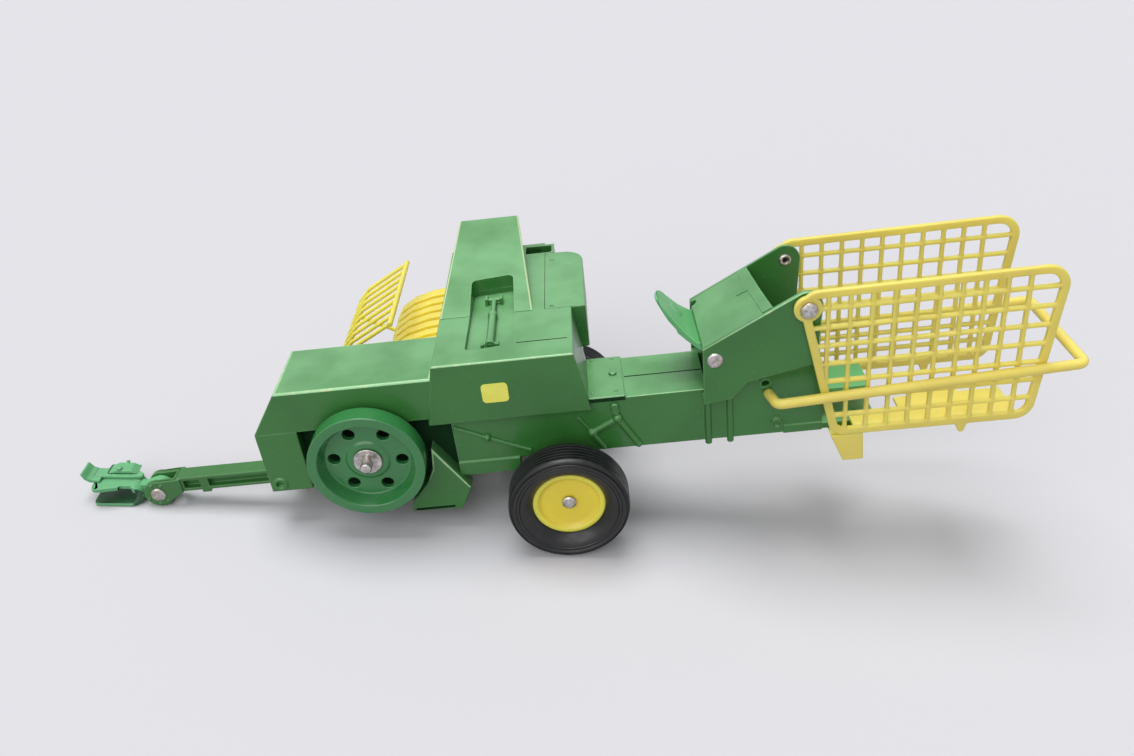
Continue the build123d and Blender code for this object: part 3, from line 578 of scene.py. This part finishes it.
ENAMELS = {                   # kind: name, colour, colour where it is thin, settings
    "enamel": ("Sprayed enamel on zinc casting", "enamel", "enamel_pale", {}),
    "bar": ("Sprayed enamel on the drawbar", "enamel", "enamel_pale", {"film": False}),
    # inner: dark matt enamel painted as shade in recesses
    "inner": ("Thin dry enamel inside a casting", "inner", "enamel", {"film": False, "dry": True}),
    # worn: pale edge finish, real wear chipped to primer and partly a painted highlight
    "worn": ("Enamel worn thin on an edge", "enamel_pale", "enamel", {"bare": "primer"}),
    # bare: primer bared on the feeder cover's edges, and partly a painted highlight there
    "bare": ("Chalky primer bared on an edge", "primer", "enamel_pale", {}),
}
HUB_GRAIN = {"grain_mm": 1.1, "rounding_mm": 0.2, "depth": 0.05}
PLASTICS = {                  # kind: name, index of refraction, roughness, colour of its scuffs, settings
    "green": ("Moulded green polystyrene", 1.59, 0.2, "", {}),
    "lever": ("Moulded light green polystyrene", 1.59, 0.4, "", {}),
    "coupler": ("Moulded satin green nylon", 1.53, 0.45, "", {}),
    # jaw: darker nylon painted as shade inside the jaw
    "jaw": ("Greasy green nylon inside the jaw", 1.53, 0.35, "coupler", {}),
    "yellow": ("Moulded yellow polyethylene", 1.51, 0.4, "", {"clear": 0.9}),
    "cage": ("Moulded pale yellow polyethylene", 1.51, 0.4, "", {"clear": 0.9}),
    "hub": ("Moulded deep yellow polystyrene", 1.59, 0.38, "", {"clear": 0.6, **HUB_GRAIN}),
    # dish: painted shade, the recessed dish darker than the lip
    "dish": ("Moulded golden polystyrene of the hub's dish", 1.59, 0.38, "hub", {"clear": 0.5, **HUB_GRAIN}),
}
OTHERS = {"steel": zinc_plated_steel, "tyre": tyre_rubber, "label": label_vinyl, "paper": studio_paper}
FINISHES = {}


def finish(context, kind):
    """The finish of that kind, made the first time it is asked for."""
    if kind in FINISHES:
        return FINISHES[kind]
    colours = context.scene.baler_colours
    c = {k: tuple(getattr(colours, k)) + (1.0,) for k in colours.__annotations__}
    if kind in ENAMELS:
        name, base, thin, settings = ENAMELS[kind]
        settings = {key: c.get(value, value) for key, value in settings.items()}    # a colour for its name
        made = sprayed_enamel(name, c[base], c[thin], **settings)
    elif kind in PLASTICS:
        name, ior, rough, scuffs, settings = PLASTICS[kind]
        paler = tuple(x * 0.55 + 0.4 for x in c[kind][:3]) + (1.0,)
        made = moulded_plastic(name, c[kind], c.get(scuffs, paler), ior, rough, **settings)
    else:
        made = OTHERS[kind]()
    FINISHES[kind] = made
    return made


def coats(context, *kinds):
    """The finishes of one piece, the first for the faces that name no other."""
    return tuple(finish(context, kind) for kind in kinds)


# ------------------------------ pieces
LINKS = [                     # tying linkage: start x, start z, end x, end z, radius
    (22.4, 32.6, 23.2, 28.8, 1.3),
    (23.2, 28.8, 31.0, 15.2, 1.5),
    (23.2, 28.8, 12.4, 22.8, 1.25),
    (12.4, 22.8, 16.6, 15.2, 1.3),
    (7.2, 31.0, 12.4, 22.8, 0.65),
]
LINK_ENDS = [(23.2, 28.8, 2.1), (12.4, 22.8, 2.0), (31.0, 15.2, 1.5), (16.6, 15.2, 1.1)]     # x, z, radius


class BALER_OT_chamber(bpy.types.Operator):
    """Bale chamber: two castings meeting on a seam, with the tying linkage cast on their sides"""
    bl_idname = "baler.chamber"
    bl_label = "Bale Chamber"

    def execute(self, context):
        worn = coats(context, "enamel", "worn", "inner")
        paint, inner = worn[0], worn[THIRD]
        edge = context.scene.baler_sizes.sheet_edge * 1000
        for side, out in SIDES:
            # the seam groove's inside takes the dark inner enamel: painted shade
            wall = grooved(from_cad("chamber_" + side), 27.7, 59.8, -0.38, 0.38, CHAMBER_TOP, 1.2, THIRD)
            # the roof's outer long edges take the worn finish: wear, and a painted highlight
            wall = softened(wall, 0.55, 3, lambda m, d: abs(m.z - CHAMBER_TOP) < 0.1 and abs(m.y) > HALF - 0.2
                            and abs(d.x) > 0.9, finish=SECOND)
            wall = softened(wall, edge * 0.8, 2, lambda m, d: abs(m.y) > 1.0 and m.z < CHAMBER_TOP - 1)
            heads = [ball(x, out * HALF, 34.6, 1.75) for x in (60.2, 69.2)]
            heads.append(lathe([(2.5, out * HALF), (2.5, out * (HALF + 0.5)), (1.7, out * (HALF + 0.7)),
                                (1.5, out * (HALF + 0.1))], 83.6, 38.6, 28))
            casting("chamber_casting_" + side, joined(wall, *heads), worn, "chamber_" + side)

            y = out * (HALF + 0.5)
            arms = [rod((x0, y, z0), (x1, y, z1), r) for x0, z0, x1, z1, r in LINKS]
            lug = rounded([(20.8, 30.8), (24.1, 30.8), (24.0, 36.2), (20.8, 36.2)], 1.3)
            lug = prism(lug, *sorted((out * (HALF - 0.3), out * (HALF + 1.7))))
            arms.append(softened(lug, 0.6, 3, sharper=60))
            arms += [ball(x, out * (HALF + 0.7), z, r) for x, z, r in LINK_ENDS]
            casting("tying_linkage_" + side, joined(*arms), paint, "linkage_" + side, smooth=60)
        casting("bale_shelf", softened(from_cad("outlet_shelf"), edge * 0.8), paint, "outlet_shelf")
        y = -HALF - 0.4
        rail = joined(rod((-43.6, y, 31.2), (-14.0, y, 16.8), 0.75), ball(-31.2, y - 0.3, 25.2, 1.6),
                      ball(-43.6, y, 31.2, 0.9))
        casting("needle_rail", rail, paint, "needle_rail_left", smooth=60)

        top = CHAMBER_TOP
        lid = plate(rounded(rectangle(12.2, 27.0, -HALF + 0.6, HALF), 0.7), top, top + 1.0)
        lip = softened(block(12.0, 27.4, -HALF - 0.7, -HALF + 1.5, top - 1.3, top + 1.15), 0.8)
        # the lip's near face and underside take the dark inner enamel: painted shade under the lip
        lip = paint_shade_inside(lip, 11, 28, -HALF - 1, -HALF - 0.45, top - 1.5, top + 0.95, SECOND)
        screws = [stood(dome(0, 0, 0, -1, 0.85, 0.5, 16), x, y, top + 0.95)
                  for x, y in ((14.8, 13.6), (23.3, 13.9), (23.7, -11.5), (14.1, -12.0))]
        boss = stood(dome(0, 0, 0, -1, 1.75, 1.2, 28), 23.0, 1.5, top + 0.9)
        casting("knotter_lid", joined(softened(lid, 0.35, 2), lip, boss, *screws), (paint, inner),
                "knotter_cover")
        return {"FINISHED"}


class BALER_OT_twine_box(bpy.types.Operator):
    """Twine box with its sunk feeder cylinder and a blank label plate"""
    bl_idname = "baler.twine_box"
    bl_label = "Twine Box"

    def execute(self, context):
        worn = coats(context, "enamel", "worn", "inner")
        paint = worn[0]
        edge = context.scene.baler_sizes.casting_edge * 1000
        # the lid groove's inside takes the dark inner enamel: painted shade
        case = grooved(from_cad("twine_box"), -14.4, 6.2, -6.35, -5.7, BOX_TOP, 0.9, THIRD)
        # the near top edge takes the worn finish: wear, and a painted highlight
        case = softened(case, edge * 0.9, 3, lambda m, d: abs(m.z - BOX_TOP) < 0.1 and m.y < -18.9,
                        finish=SECOND)
        # the lid's groove stops short of the rounded edge, and its own ends stay sharp
        case = softened(case, edge, 3, lambda m, d: m.y < 19.5 and (m.y < -18 or m.x > 5 or m.x < -46)
                        and (m.z < BOX_TOP - 1 or abs(d.y) > 0.9)
                        and not (m.x < 8.5 and -7 < m.y < -5), finish=0)
        casting("twine_box_casting", case, worn, "twine_box")
        tray = plate(rounded([(x * 0.985 - 0.4, y * 0.985 + 0.3) for x, y in POCKET], 2.2), POCKET_Z - 0.4,
                     POCKET_Z + 0.12)
        casting("pocket_floor", softened(tray, 0.1, 1), paint)

        x, z = RAM_X, POCKET_Z + 1.7
        collar = [(0.0, 19.0), (1.9, 19.0), (2.05, 19.4), (2.05, 21.4), (1.9, 21.8), (0.0, 21.8)]
        ring = [(1.0, -4.8), (1.9, -4.8), (2.1, -4.4), (2.1, -3.0), (1.9, -2.6), (1.0, -2.6)]
        ram = [rod((x, -3.6, z), (x, 20.0, z), 1.7), rod((x, 20.0, z), (x, 34.0, z), 1.15),
               lathe(collar, x, z, 28, closed=False), lathe(ring, x, z, 28)]
        for lug in (-28.4, -22.0):
            ram.append(softened(block(lug - 0.7, lug + 0.7, 32.6, 36.6, POCKET_Z, POCKET_Z + 3.4), 0.4, 2))
            ram.append(softened(block(lug - 0.6, lug + 0.6, -5.6, -2.6, POCKET_Z, BOX_TOP + 0.1), 0.4, 2))
        ram.append(rod((-28.8, 34.4, z + 0.2), (-21.6, 34.4, z + 0.2), 0.9, steps=20))
        ram.append(rod((-28.6, -4.0, z + 0.2), (-21.8, -4.0, z + 0.2), 0.7, steps=20))
        casting("feeder_cylinder", joined(*ram), paint, "feeder_ram")
        x, z, wide, high = LABEL
        sheet = rounded(rectangle(x - wide / 2, x + wide / 2, z - high / 2, z + high / 2), 1.7)
        sheet = softened(prism(sheet, *LABEL_Y), 0.12, 2, sharper=60)
        piece("label_plate", sheet, "chassis", finish(context, "label"), ["blank_plate"], "yellow_plate")
        return {"FINISHED"}


class BALER_OT_feed(bpy.types.Operator):
    """Cross feed housing, chain case, trough and the raised feeder cover"""
    bl_idname = "baler.feed"
    bl_label = "Cross Feed"

    def execute(self, context):
        paint, inner, bare = coats(context, "enamel", "inner", "bare")
        edge = context.scene.baler_sizes.casting_edge * 1000
        housing = softened(from_cad("feed_housing"), edge * 0.6, 2,
                           lambda m, d: m.x < -4 and (m.y > 47 or (m.y > 22 and m.x < -40)))
        casting("feed_housing_casting", housing, paint, "feed_housing", flat=True)
        dents = [rod((x, y, BOX_TOP - 0.45), (x, y, BOX_TOP + 1), 1.0, steps=24)
                 for x, y in ((0.1, 67.8), (-0.1, 22.0))]
        # the groove's inside takes the dark inner enamel: painted shade
        case = grooved(from_cad("chain_case"), -3.2, -2.8, 19.0, 75.8, BOX_TOP, 0.9, SECOND, dents)
        case = softened(case, edge * 1.2, 3,
                        lambda m, d: m.x > 0.5 and not (abs(d.z) > 0.9 and m.x < 10))
        lip = softened(block(8.0, 14.5, 19.9, 23.0, 43.2, 45.2), 0.7)
        casting("chain_case_casting", joined(case, lip), (paint, inner), "chain_case")
        casting("feed_trough_casting", softened(from_cad("feed_trough"), edge * 0.7), paint, "feed_trough")
        # the tower's side edges take the bare finish: bared primer, and a painted highlight
        cover = softened(from_cad("feeder_cover"), 0.75, 3, lambda m, d: m.z > BOX_TOP + 3
                         and abs(m.x + 27.9) > 12.8 and abs(d.y) > 0.8, finish=SECOND)
        casting("feeder_cover_casting", cover, (paint, bare), "feeder_cover", flat=True)
        return {"FINISHED"}


class BALER_OT_hood(bpy.types.Operator):
    """Gearbox hood, front bracket, gearbox and its foot"""
    bl_idname = "baler.hood"
    bl_label = "Gearbox Hood"

    def execute(self, context):
        worn = coats(context, "enamel", "worn", "inner")
        edge = context.scene.baler_sizes.casting_edge * 1000
        # the hood's top edges take the worn finish: wear, and a painted highlight
        hood = softened(from_cad("gearbox_hood"), edge * 1.3, 3, lambda m, d: m.z > 56.5 and m.x < -49,
                        finish=SECOND)
        hood = softened(hood, edge * 0.7, 2, lambda m, d: 38.5 < m.z < 56 and abs(m.y) > 17.4 and m.x < -110)
        casting("hood_casting", hood, worn, "gearbox_hood")
        for name, cad, kind, share in (("front_bracket_casting", "front_bracket", "enamel", 0.7),
                                       # the gearbox casting takes the dark inner enamel: painted shade behind
                                       # the flywheel and bracket
                                       ("gearbox_casting", "gearbox", "inner", 0.7),
                                       ("pickup_arm", "pickup_bracket", "enamel", 0.8)):
            casting(name, softened(from_cad(cad), edge * share), finish(context, kind), cad)
        foot = combined(from_cad("gearbox_foot"), [block(-66.4, -49.5, -19.4, -17.2, -7.1, -5.9)])
        # the slot's inside takes the dark inner enamel: painted shade
        foot = paint_shade_inside(foot, -66.6, -49.3, -18.95, -17.1, -7.2, -5.8, THIRD)
        foot = softened(foot, edge * 1.2, 3,
                        lambda m, d: m.y < -18.5 and not (-7.3 < m.z < -5.7) and not m.z > 8)
        # the foot's upper near edges take the worn finish: wear, and a painted highlight
        foot = softened(foot, edge, 3, lambda m, d: m.y < -18.9 and m.z > 8, finish=SECOND)
        casting("foot_casting", foot, worn, "gearbox_foot")
        return {"FINISHED"}


class BALER_OT_drawbar(bpy.types.Operator):
    """Forked drawbar with its rivet"""
    bl_idname = "baler.drawbar"
    bl_label = "Drawbar"

    def execute(self, context):
        bar = softened(from_cad("drawbar"), context.scene.baler_sizes.sheet_edge * 1000)
        x, z = HITCH
        nubs = [ball(x + 5.0 * math.cos(math.radians(a)), BAR_Y[0], z + 5.0 * math.sin(math.radians(a)), 0.75)
                for a in (62, 112, 205, -52, -95)]
        casting("drawbar_casting", joined(bar, *nubs), finish(context, "bar"), "drawbar")
        steel(context, "drawbar_rivet", riveted(x, z, *BAR_Y, 1.05, 0.2), "hitch_rivet")
        return {"FINISHED"}


class BALER_OT_coupler(bpy.types.Operator):
    """Pivoting hitch coupler: a U-shaped jaw under a winged top, with its nose lip, latch and pin"""
    bl_idname = "baler.coupler"
    bl_label = "Hitch Coupler"

    def execute(self, context):
        green, jaw_shade = coats(context, "coupler", "jaw")
        jaw = [(-28.8, 3.0), (-11.6, 3.0)] + arc(-11.6, -1.6, 4.6, 90, -90) + [(-28.0, -6.2), (-28.8, -5.8),
               (-28.8, -4.7)] + arc(-12.2, -1.85, 2.85, -90, 90) + [(-28.8, 1.0)]
        plan = rounded([(-28.8, -9.0), (-12.0, -9.0), (-6.6, -6.4), (-6.6, 0.8), (-12.2, 4.0), (-13.0, 6.9),
                        (-24.0, 6.9), (-26.5, 2.6), (-28.8, 2.6)],
                       [2.2, 2.5, 0.8, 0.8, 1.0, 0.8, 1.4, 1.5, 1.5])
        body = combined(prism(jaw, -9.0, 7.0), [plate(plan, -8, 8)], "INTERSECT")
        scoop = ([(-26.8, -9.4), (-17.4, -7.2)] + arc(-14.6, -7.0, 2.6, 180, 0, 10)
                 + [(-11.0, -7.2), (-9.0, -9.4)])
        body = combined(body, [plate([(x, min(y, -6.0)) for x, y in scoop], 0.9, 4.0),
                               block(-28.2, -8.4, -2.2, -1.85, 2.4, 4.0),
                               rod((-26.6, -7.9, 2.4), (-26.6, -7.9, 4.0), 0.45, steps=16)])
        # the faces inside the jaw take the jaw_shade finish: painted shade
        body = paint_shade_inside(body, -28.6, -9.2, -8.9, 6.9, -4.8, 1.05, SECOND)
        neck = ([(-8.6, 3.0), (-6.0, 3.0), (-3.0, 4.6)] + arc(0, 0, 5.35, 100, -100)
                + [(-3.0, -4.8), (-8.6, -4.6)])
        neck = combined(prism(neck, -5.15, -0.85), [rod((0, -9, 0), (0, 3, 0), 1.7)])
        piece("coupler_moulding", softened(joined(body, neck), 0.4, 2), "coupler", (green, jaw_shade),
              ["coupler"], "green_plastic", place=COUPLER)

        wing = rounded([(-30.6, -1.6), (-13.0, -1.6), (-8.6, -1.0), (-8.6, 1.2), (-12.6, 4.4), (-13.4, 6.9),
                        (-23.4, 6.9), (-25.4, 4.4), (-30.6, 4.2)], 1.0)
        hump = rounded([(-24.5, 4.4), (-20.5, 6.3), (-14.0, 6.3), (-11.0, 4.4)], [0.1, 2.0, 2.0, 0.1])
        lip = rounded([(-33.9, 7.5), (-32.9, 7.7), (-31.2, 5.4), (-29.0, 4.5), (-26.0, 4.4), (-26.0, 3.0),
                       (-30.4, 3.0), (-32.6, 4.6)], [0.4, 0.4, 1.6, 1.0, 0.2, 0.2, 1.6, 2.0])
        latch = [softened(plate(wing, 3.0, 4.6), 0.4, 2), softened(prism(hump, 0.2, 6.6), 0.5, 2),
                 softened(prism(lip, -4.5, 4.5), 0.25, 2),
                 rod((-19.0, 1.4, 5.8), (-19.0, 1.4, 7.2), 1.25, steps=24), ball(-19.0, 1.4, 7.0, 1.25, 0.45),
                 ball(-22.6, -0.6, 4.5, 0.5), ball(-14.4, -0.6, 4.5, 0.5),
                 rod((-17.0, 6.0, 5.0), (-17.0, 6.9, 7.0), 0.8, steps=16)]
        piece("latch_moulding", joined(*latch), "coupler", green, ["coupler_latch"], "green_plastic",
              place=COUPLER)
        pin = lathe([(0.0, 0.2), (1.5, 0.2), (1.5, -3.0), (1.1, -3.6), (0.0, -3.6)], 0, 0, 28, closed=False)
        pin.transform(Matrix.Translation((-20.0, -1.0, 1.0)) @ Matrix.Rotation(math.pi / 2, 4, "X"))
        piece("coupler_pin", pin, "coupler", green, ["hitch_pin"], "green_plastic", place=COUPLER)
        return {"FINISHED"}


class BALER_OT_flywheel(bpy.types.Operator):
    """Six-hole flywheel on its stub"""
    bl_idname = "baler.flywheel"
    bl_label = "Flywheel"

    def execute(self, context):
        wheel = softened(from_cad("flywheel"), 0.45, 3, sharper=25)
        piece("flywheel_moulding", wheel, "flywheel", finish(context, "green"), ["flywheel"], "green_plastic")
        x, z = FLYWHEEL_X, FLYWHEEL_Z
        washer = [(2.3, -23.4), (5.7, -23.4), (6.0, -23.6), (6.0, -24.0), (5.6, -24.35), (3.4, -24.1),
                  (2.3, -24.1)]
        stub = [(0.0, 0.0), (AXLE_R, 0.0), (AXLE_R, -28.7), (2.1, -29.1), (1.5, -29.3), (0.0, -29.35)]
        stub = joined(lathe(washer, x, z, 48), lathe(stub, x, z, 36, closed=False))
        steel(context, "flywheel_stub", stub, "flywheel_axle")
        return {"FINISHED"}


def tyre_outline(rib):
    """(radius, depth from the outer face) round a tyre: dished sidewalls, raised rings and tread grooves."""
    side = [(BEAD_R, 4.7), (BEAD_R, 4.4), (16.0, 3.3), (17.2, 2.1), (18.6, 1.2), (20.1, 0.65), (20.3, 0.85),
            (20.6, 0.5), (21.5, 0.38), (21.7, 0.6), (22.0, 0.3), (22.5, 0.14), (22.8, 0.06), (23.2, 0.12),
            (23.4, 0.2 + rib), (23.9, 0.35 + rib)]
    shoulder = []
    for k in range(5, 13):
        t = math.radians(8 + 82 * k / 12)
        shoulder.append((22.5 + 2.5 * math.sin(t), 2.6 - 2.5 * math.cos(t)))
    near = side + shoulder
    tread = []
    for groove in (3.7, 5.4, 7.3, 9.2, 10.9):
        tread += [(TYRE_R, groove - 0.55), (TYRE_R - rib, groove - 0.3), (TYRE_R - rib, groove + 0.3),
                  (TYRE_R, groove + 0.55)]
    far = [(r, TYRE_W - d) for r, d in reversed(near[1:])]
    return near + tread + far + [(RIM_R, TYRE_W - 1.0), (RIM_R, 5.6), (BEAD_R, 5.6)]


class BALER_OT_wheels(bpy.types.Operator):
    """Ribbed tyres, dished hubs, axle and axle beam"""
    bl_idname = "baler.wheels"
    bl_label = "Wheels"

    def execute(self, context):
        rib = context.scene.baler_sizes.tyre_rib * 1000
        for side, face, inward in (("left", TYRE_Y[0], 1), ("right", TYRE_Y[1], -1)):
            outline = [(r, face + inward * d) for r, d in tyre_outline(rib)]
            piece("ribbed_tyre_" + side, lathe(outline, 0, 0, 144), "wheel_" + side, finish(context, "tyre"),
                  ["tyre_" + side], "tyre")
            dish = [(2.45, 6.75), (3.0, 6.6), (10.6, 6.4), (11.7, 6.1), (12.4, 5.5), (12.8, 4.9), (13.2, 4.6),
                    (13.8, 4.45), (14.5, 4.45), (14.95, 4.7), (BEAD_R, 5.1), (BEAD_R, 5.6), (RIM_R, 5.6),
                    (RIM_R, 14.0), (11.9, 14.0), (11.9, 8.0), (5.2, 8.0), (5.2, 14.0), (2.45, 14.0)]
            hub = lathe([(r, face + inward * d) for r, d in dish], 0, 0, 96)
            # faces inside radius 12.6 take the dish finish: painted shade in the recessed dish
            for facet in hub.faces:
                centre = facet.calc_center_median()
                facet.material_index = int(math.hypot(centre.x, centre.z) < 12.6)
            piece("dished_hub_" + side, hub, "wheel_" + side, coats(context, "hub", "dish"), ["hub_" + side],
                  "hub_yellow")
        ends = TYRE_Y[0] + 4.8, TYRE_Y[1] - 4.8
        upset = [(0.0, 0.0), (1.7, 0.05), (2.5, 0.3), (2.95, 0.7), (2.95, 1.1), (AXLE_R, 1.4)]   # peened over
        axle = [(r, ends[0] + d) for r, d in upset] + [(r, ends[1] - d) for r, d in reversed(upset)]
        steel(context, "axle_rod", lathe(axle, 0, 0, 36, closed=False), "axle")
        casting("axle_casting", softened(from_cad("axle_beam"), 0.6), finish(context, "enamel"), "axle_beam")
        return {"FINISHED"}


LAP = [(16.9, 2.2), (21.3, 1.9), (23.3, -19.7), (26.8, -19.7), (23.8, 19.7), (20.2, 19.7), (20.0, 3.0),
       (16.9, 3.0)]           # raised strip on the roof: level distance behind its front edge, and y


class BALER_OT_thrower(bpy.types.Operator):
    """Thrower housing of two pressed plates and a roof, with the lever and tray on their pin"""
    bl_idname = "baler.thrower"
    bl_label = "Bale Thrower"

    def execute(self, context):
        worn = coats(context, "enamel", "worn")
        paint = worn[0]
        edge = context.scene.baler_sizes.sheet_edge * 1000
        for side, _ in SIDES:
            # the plates' top edges take the worn finish: wear, and a painted highlight
            wall = softened(from_cad("thrower_side_" + side), edge * 1.1, 3, lambda m, d: m.z > 58
                            and abs(m.y) > PLATE_Y - 0.2 and m.x < EAR[0] + 8, finish=SECOND)
            casting("thrower_plate_" + side, wall, worn, "thrower_side_" + side)

        slope = math.atan2(EAR[1] + 6.2 - ROOF_Z, EAR[0] - 1.5 - ROOF_X)
        on_roof = Matrix.Translation((ROOF_X, 0, ROOF_Z)) @ Matrix.Rotation(-slope, 4, "Y")
        lap = plate([(x / math.cos(slope), y) for x, y in LAP], -0.2, 0.35)
        lap.transform(on_roof)
        notch = rod((58.0, 16.6, 66), (60.4, 16.6, 54), 1.7)
        roof = softened(combined(from_cad("thrower_roof"), [notch]), 0.3, 2)
        casting("thrower_cover", joined(roof, softened(lap, 0.12, 1)), paint, "thrower_roof")

        lever = softened(from_cad("thrower"), 1.3, 4, lambda m, d: abs(d.z) > 0.9 and m.x < 50, sharper=12)
        lever = softened(lever, 0.4, 2, sharper=35)
        mark = rod((0, 0, 0), (0, 0, 0.5), 1.0, 0.92, 40)
        mark.transform(Matrix.Translation(BLADE_MARK) @ Matrix.Rotation(BLADE_TURN, 4, "Y")
                       @ Matrix.Translation((0, 0, -0.32)) @ Matrix.Diagonal((3.4, 4.0, 1.0, 1.0)))
        piece("thrower_lever", joined(lever, mark), "thrower", finish(context, "lever"), ["thrower"],
              "green_plastic")
        steel(context, "thrower_rivet", riveted(*PIVOT, -PLATE_Y, PLATE_Y, 1.1), "thrower_pin")
        return {"FINISHED"}


class BALER_OT_cage(bpy.types.Operator):
    """Bale cage: two lattice panels, floor, yoke, bumper loop and rivets"""
    bl_idname = "baler.cage"
    bl_label = "Bale Cage"

    def execute(self, context):
        yellow, edge = finish(context, "cage"), context.scene.baler_sizes.plastic_edge * 1000
        for name, cad, share in (("lattice_left", "cage_left", 1.3), ("lattice_right", "cage_right", 1.3),
                                 ("cage_floor_plates", "cage_floor", 0.8),
                                 ("cage_yoke_moulding", "cage_yoke", 1.2),
                                 ("bumper_bar", "bumper_loop", 0.8)):
            piece(name, softened(from_cad(cad), edge * share), "chassis", yellow, [cad], "yellow_plastic")
        x, z = EAR
        for side, out in SIDES:
            inner = out * 19.9
            eyelet = [(1.0, inner - out * 0.2), (1.2, inner - out * 0.75), (1.9, inner - out * 1.0),
                      (2.5, inner - out * 0.7), (2.7, inner - out * 0.1), (2.7, inner), (RIVET_R, inner),
                      (RIVET_R, out * CAGE_Y), (0.9, out * CAGE_Y), (0.9, inner)]
            head = joined(lathe(eyelet, x, z, 40), dome(x, z, out * CAGE_Y, out, HEAD_R, 1.1))
            steel(context, "cage_rivet_head_" + side, head, "cage_rivet_" + side)
        return {"FINISHED"}


class BALER_OT_pickup(bpy.types.Operator):
    """Pickup drum with its stripper bands, and the wind guard over it"""
    bl_idname = "baler.pickup"
    bl_label = "Pickup"

    def execute(self, context):
        yellow = finish(context, "yellow")
        for name, cad, edge, steps in (("pickup_moulding", "pickup", 0.4, 3),
                                       ("guard_rods", "pickup_guard", 0.2, 2)):
            piece(name, softened(from_cad(cad), edge, steps), "chassis", yellow, [cad], "yellow_plastic")
        return {"FINISHED"}


class BALER_OT_stage(bpy.types.Operator):
    """Pale table, soft lamps and the camera"""
    bl_idname = "baler.stage"
    bl_label = "Stage"

    def execute(self, context):
        scene, stage = context.scene, context.scene.baler_stage
        bm = bmesh.new()
        bmesh.ops.create_grid(bm, x_segments=1, y_segments=1, size=TABLE_HALF)
        mesh = bpy.data.meshes.new("table_top")
        bm.to_mesh(mesh)
        bm.free()
        mesh.materials.append(finish(context, "paper"))
        table = bpy.data.objects.new("table_top", mesh)
        table.location.z = -TABLE_DROP
        scene.collection.objects.link(table)

        for name, strength, spread, spot in (("key_lamp", stage.key, 38.0, (-0.16, 0.17, 1.0)),
                                             ("fill_lamp", stage.fill, 60.0, (-0.5, -1.1, 0.9))):
            lamp = bpy.data.lights.new(name, "SUN")
            lamp.energy, lamp.angle = strength, math.radians(spread)
            obj = bpy.data.objects.new(name, lamp)
            obj.location = spot
            obj.rotation_euler = (-Vector(spot)).to_track_quat("-Z", "Y").to_euler()
            scene.collection.objects.link(obj)

        world = bpy.data.worlds.new("Studio")
        world.use_nodes = True
        tree = world.node_tree
        ray = node(tree, "LightPath").outputs
        seen = node(tree, "Math", {0: ray["Is Camera Ray"], 1: ray["Is Glossy Ray"]}, operation="MAXIMUM")
        seen = node(tree, "Math", {0: seen.outputs[0], 1: ray["Is Transmission Ray"]}, operation="MAXIMUM")
        shade = blended(tree, seen.outputs[0], linear("#85868a"), linear("#dadbdf"))
        tree.links.new(shade, tree.nodes["Background"].inputs["Color"])
        scene.world = world

        camera = bpy.data.cameras.new("camera")
        camera.sensor_width, camera.lens = 36.0, stage.lens
        camera.clip_start, camera.clip_end = 0.01, 20.0
        eye = bpy.data.objects.new("camera", camera)
        eye.location, eye.rotation_euler = stage.place, stage.turn
        scene.collection.objects.link(eye)
        scene.camera = eye
        scene.view_settings.view_transform = "Standard"
        return {"FINISHED"}


class BALER_PT_panel(bpy.types.Panel):
    """Lists the baler's pieces, sizes and colours"""
    bl_label = "Toy Square Baler"
    bl_idname = "BALER_PT_panel"
    bl_space_type = "VIEW_3D"
    bl_region_type = "UI"
    bl_category = "Baler"

    def draw(self, context):
        for operator in OPERATORS:
            self.layout.operator(operator.bl_idname)
        for group in (context.scene.baler_sizes, context.scene.baler_colours, context.scene.baler_stage):
            box = self.layout.box()
            for key in group.__annotations__:
                box.prop(group, key)


OPERATORS = (BALER_OT_chamber, BALER_OT_twine_box, BALER_OT_feed, BALER_OT_hood, BALER_OT_drawbar,
             BALER_OT_coupler, BALER_OT_flywheel, BALER_OT_wheels, BALER_OT_thrower, BALER_OT_cage,
             BALER_OT_pickup, BALER_OT_stage)
GROUPS = (("baler_sizes", BalerSizes), ("baler_colours", BalerColours), ("baler_stage", StageSettings))


def register():
    for name, group in GROUPS:
        bpy.utils.register_class(group)
        setattr(bpy.types.Scene, name, bpy.props.PointerProperty(type=group))
    for cls in OPERATORS + (BALER_PT_panel,):
        bpy.utils.register_class(cls)


def unregister():
    for cls in reversed(OPERATORS + (BALER_PT_panel,)):
        bpy.utils.unregister_class(cls)
    for name, group in reversed(GROUPS):
        delattr(bpy.types.Scene, name)
        bpy.utils.unregister_class(group)


def main():
    register()
    for operator in OPERATORS:
        group, name = operator.bl_idname.split(".")
        getattr(getattr(bpy.ops, group), name)()


if __name__ == "__main__":
    main()
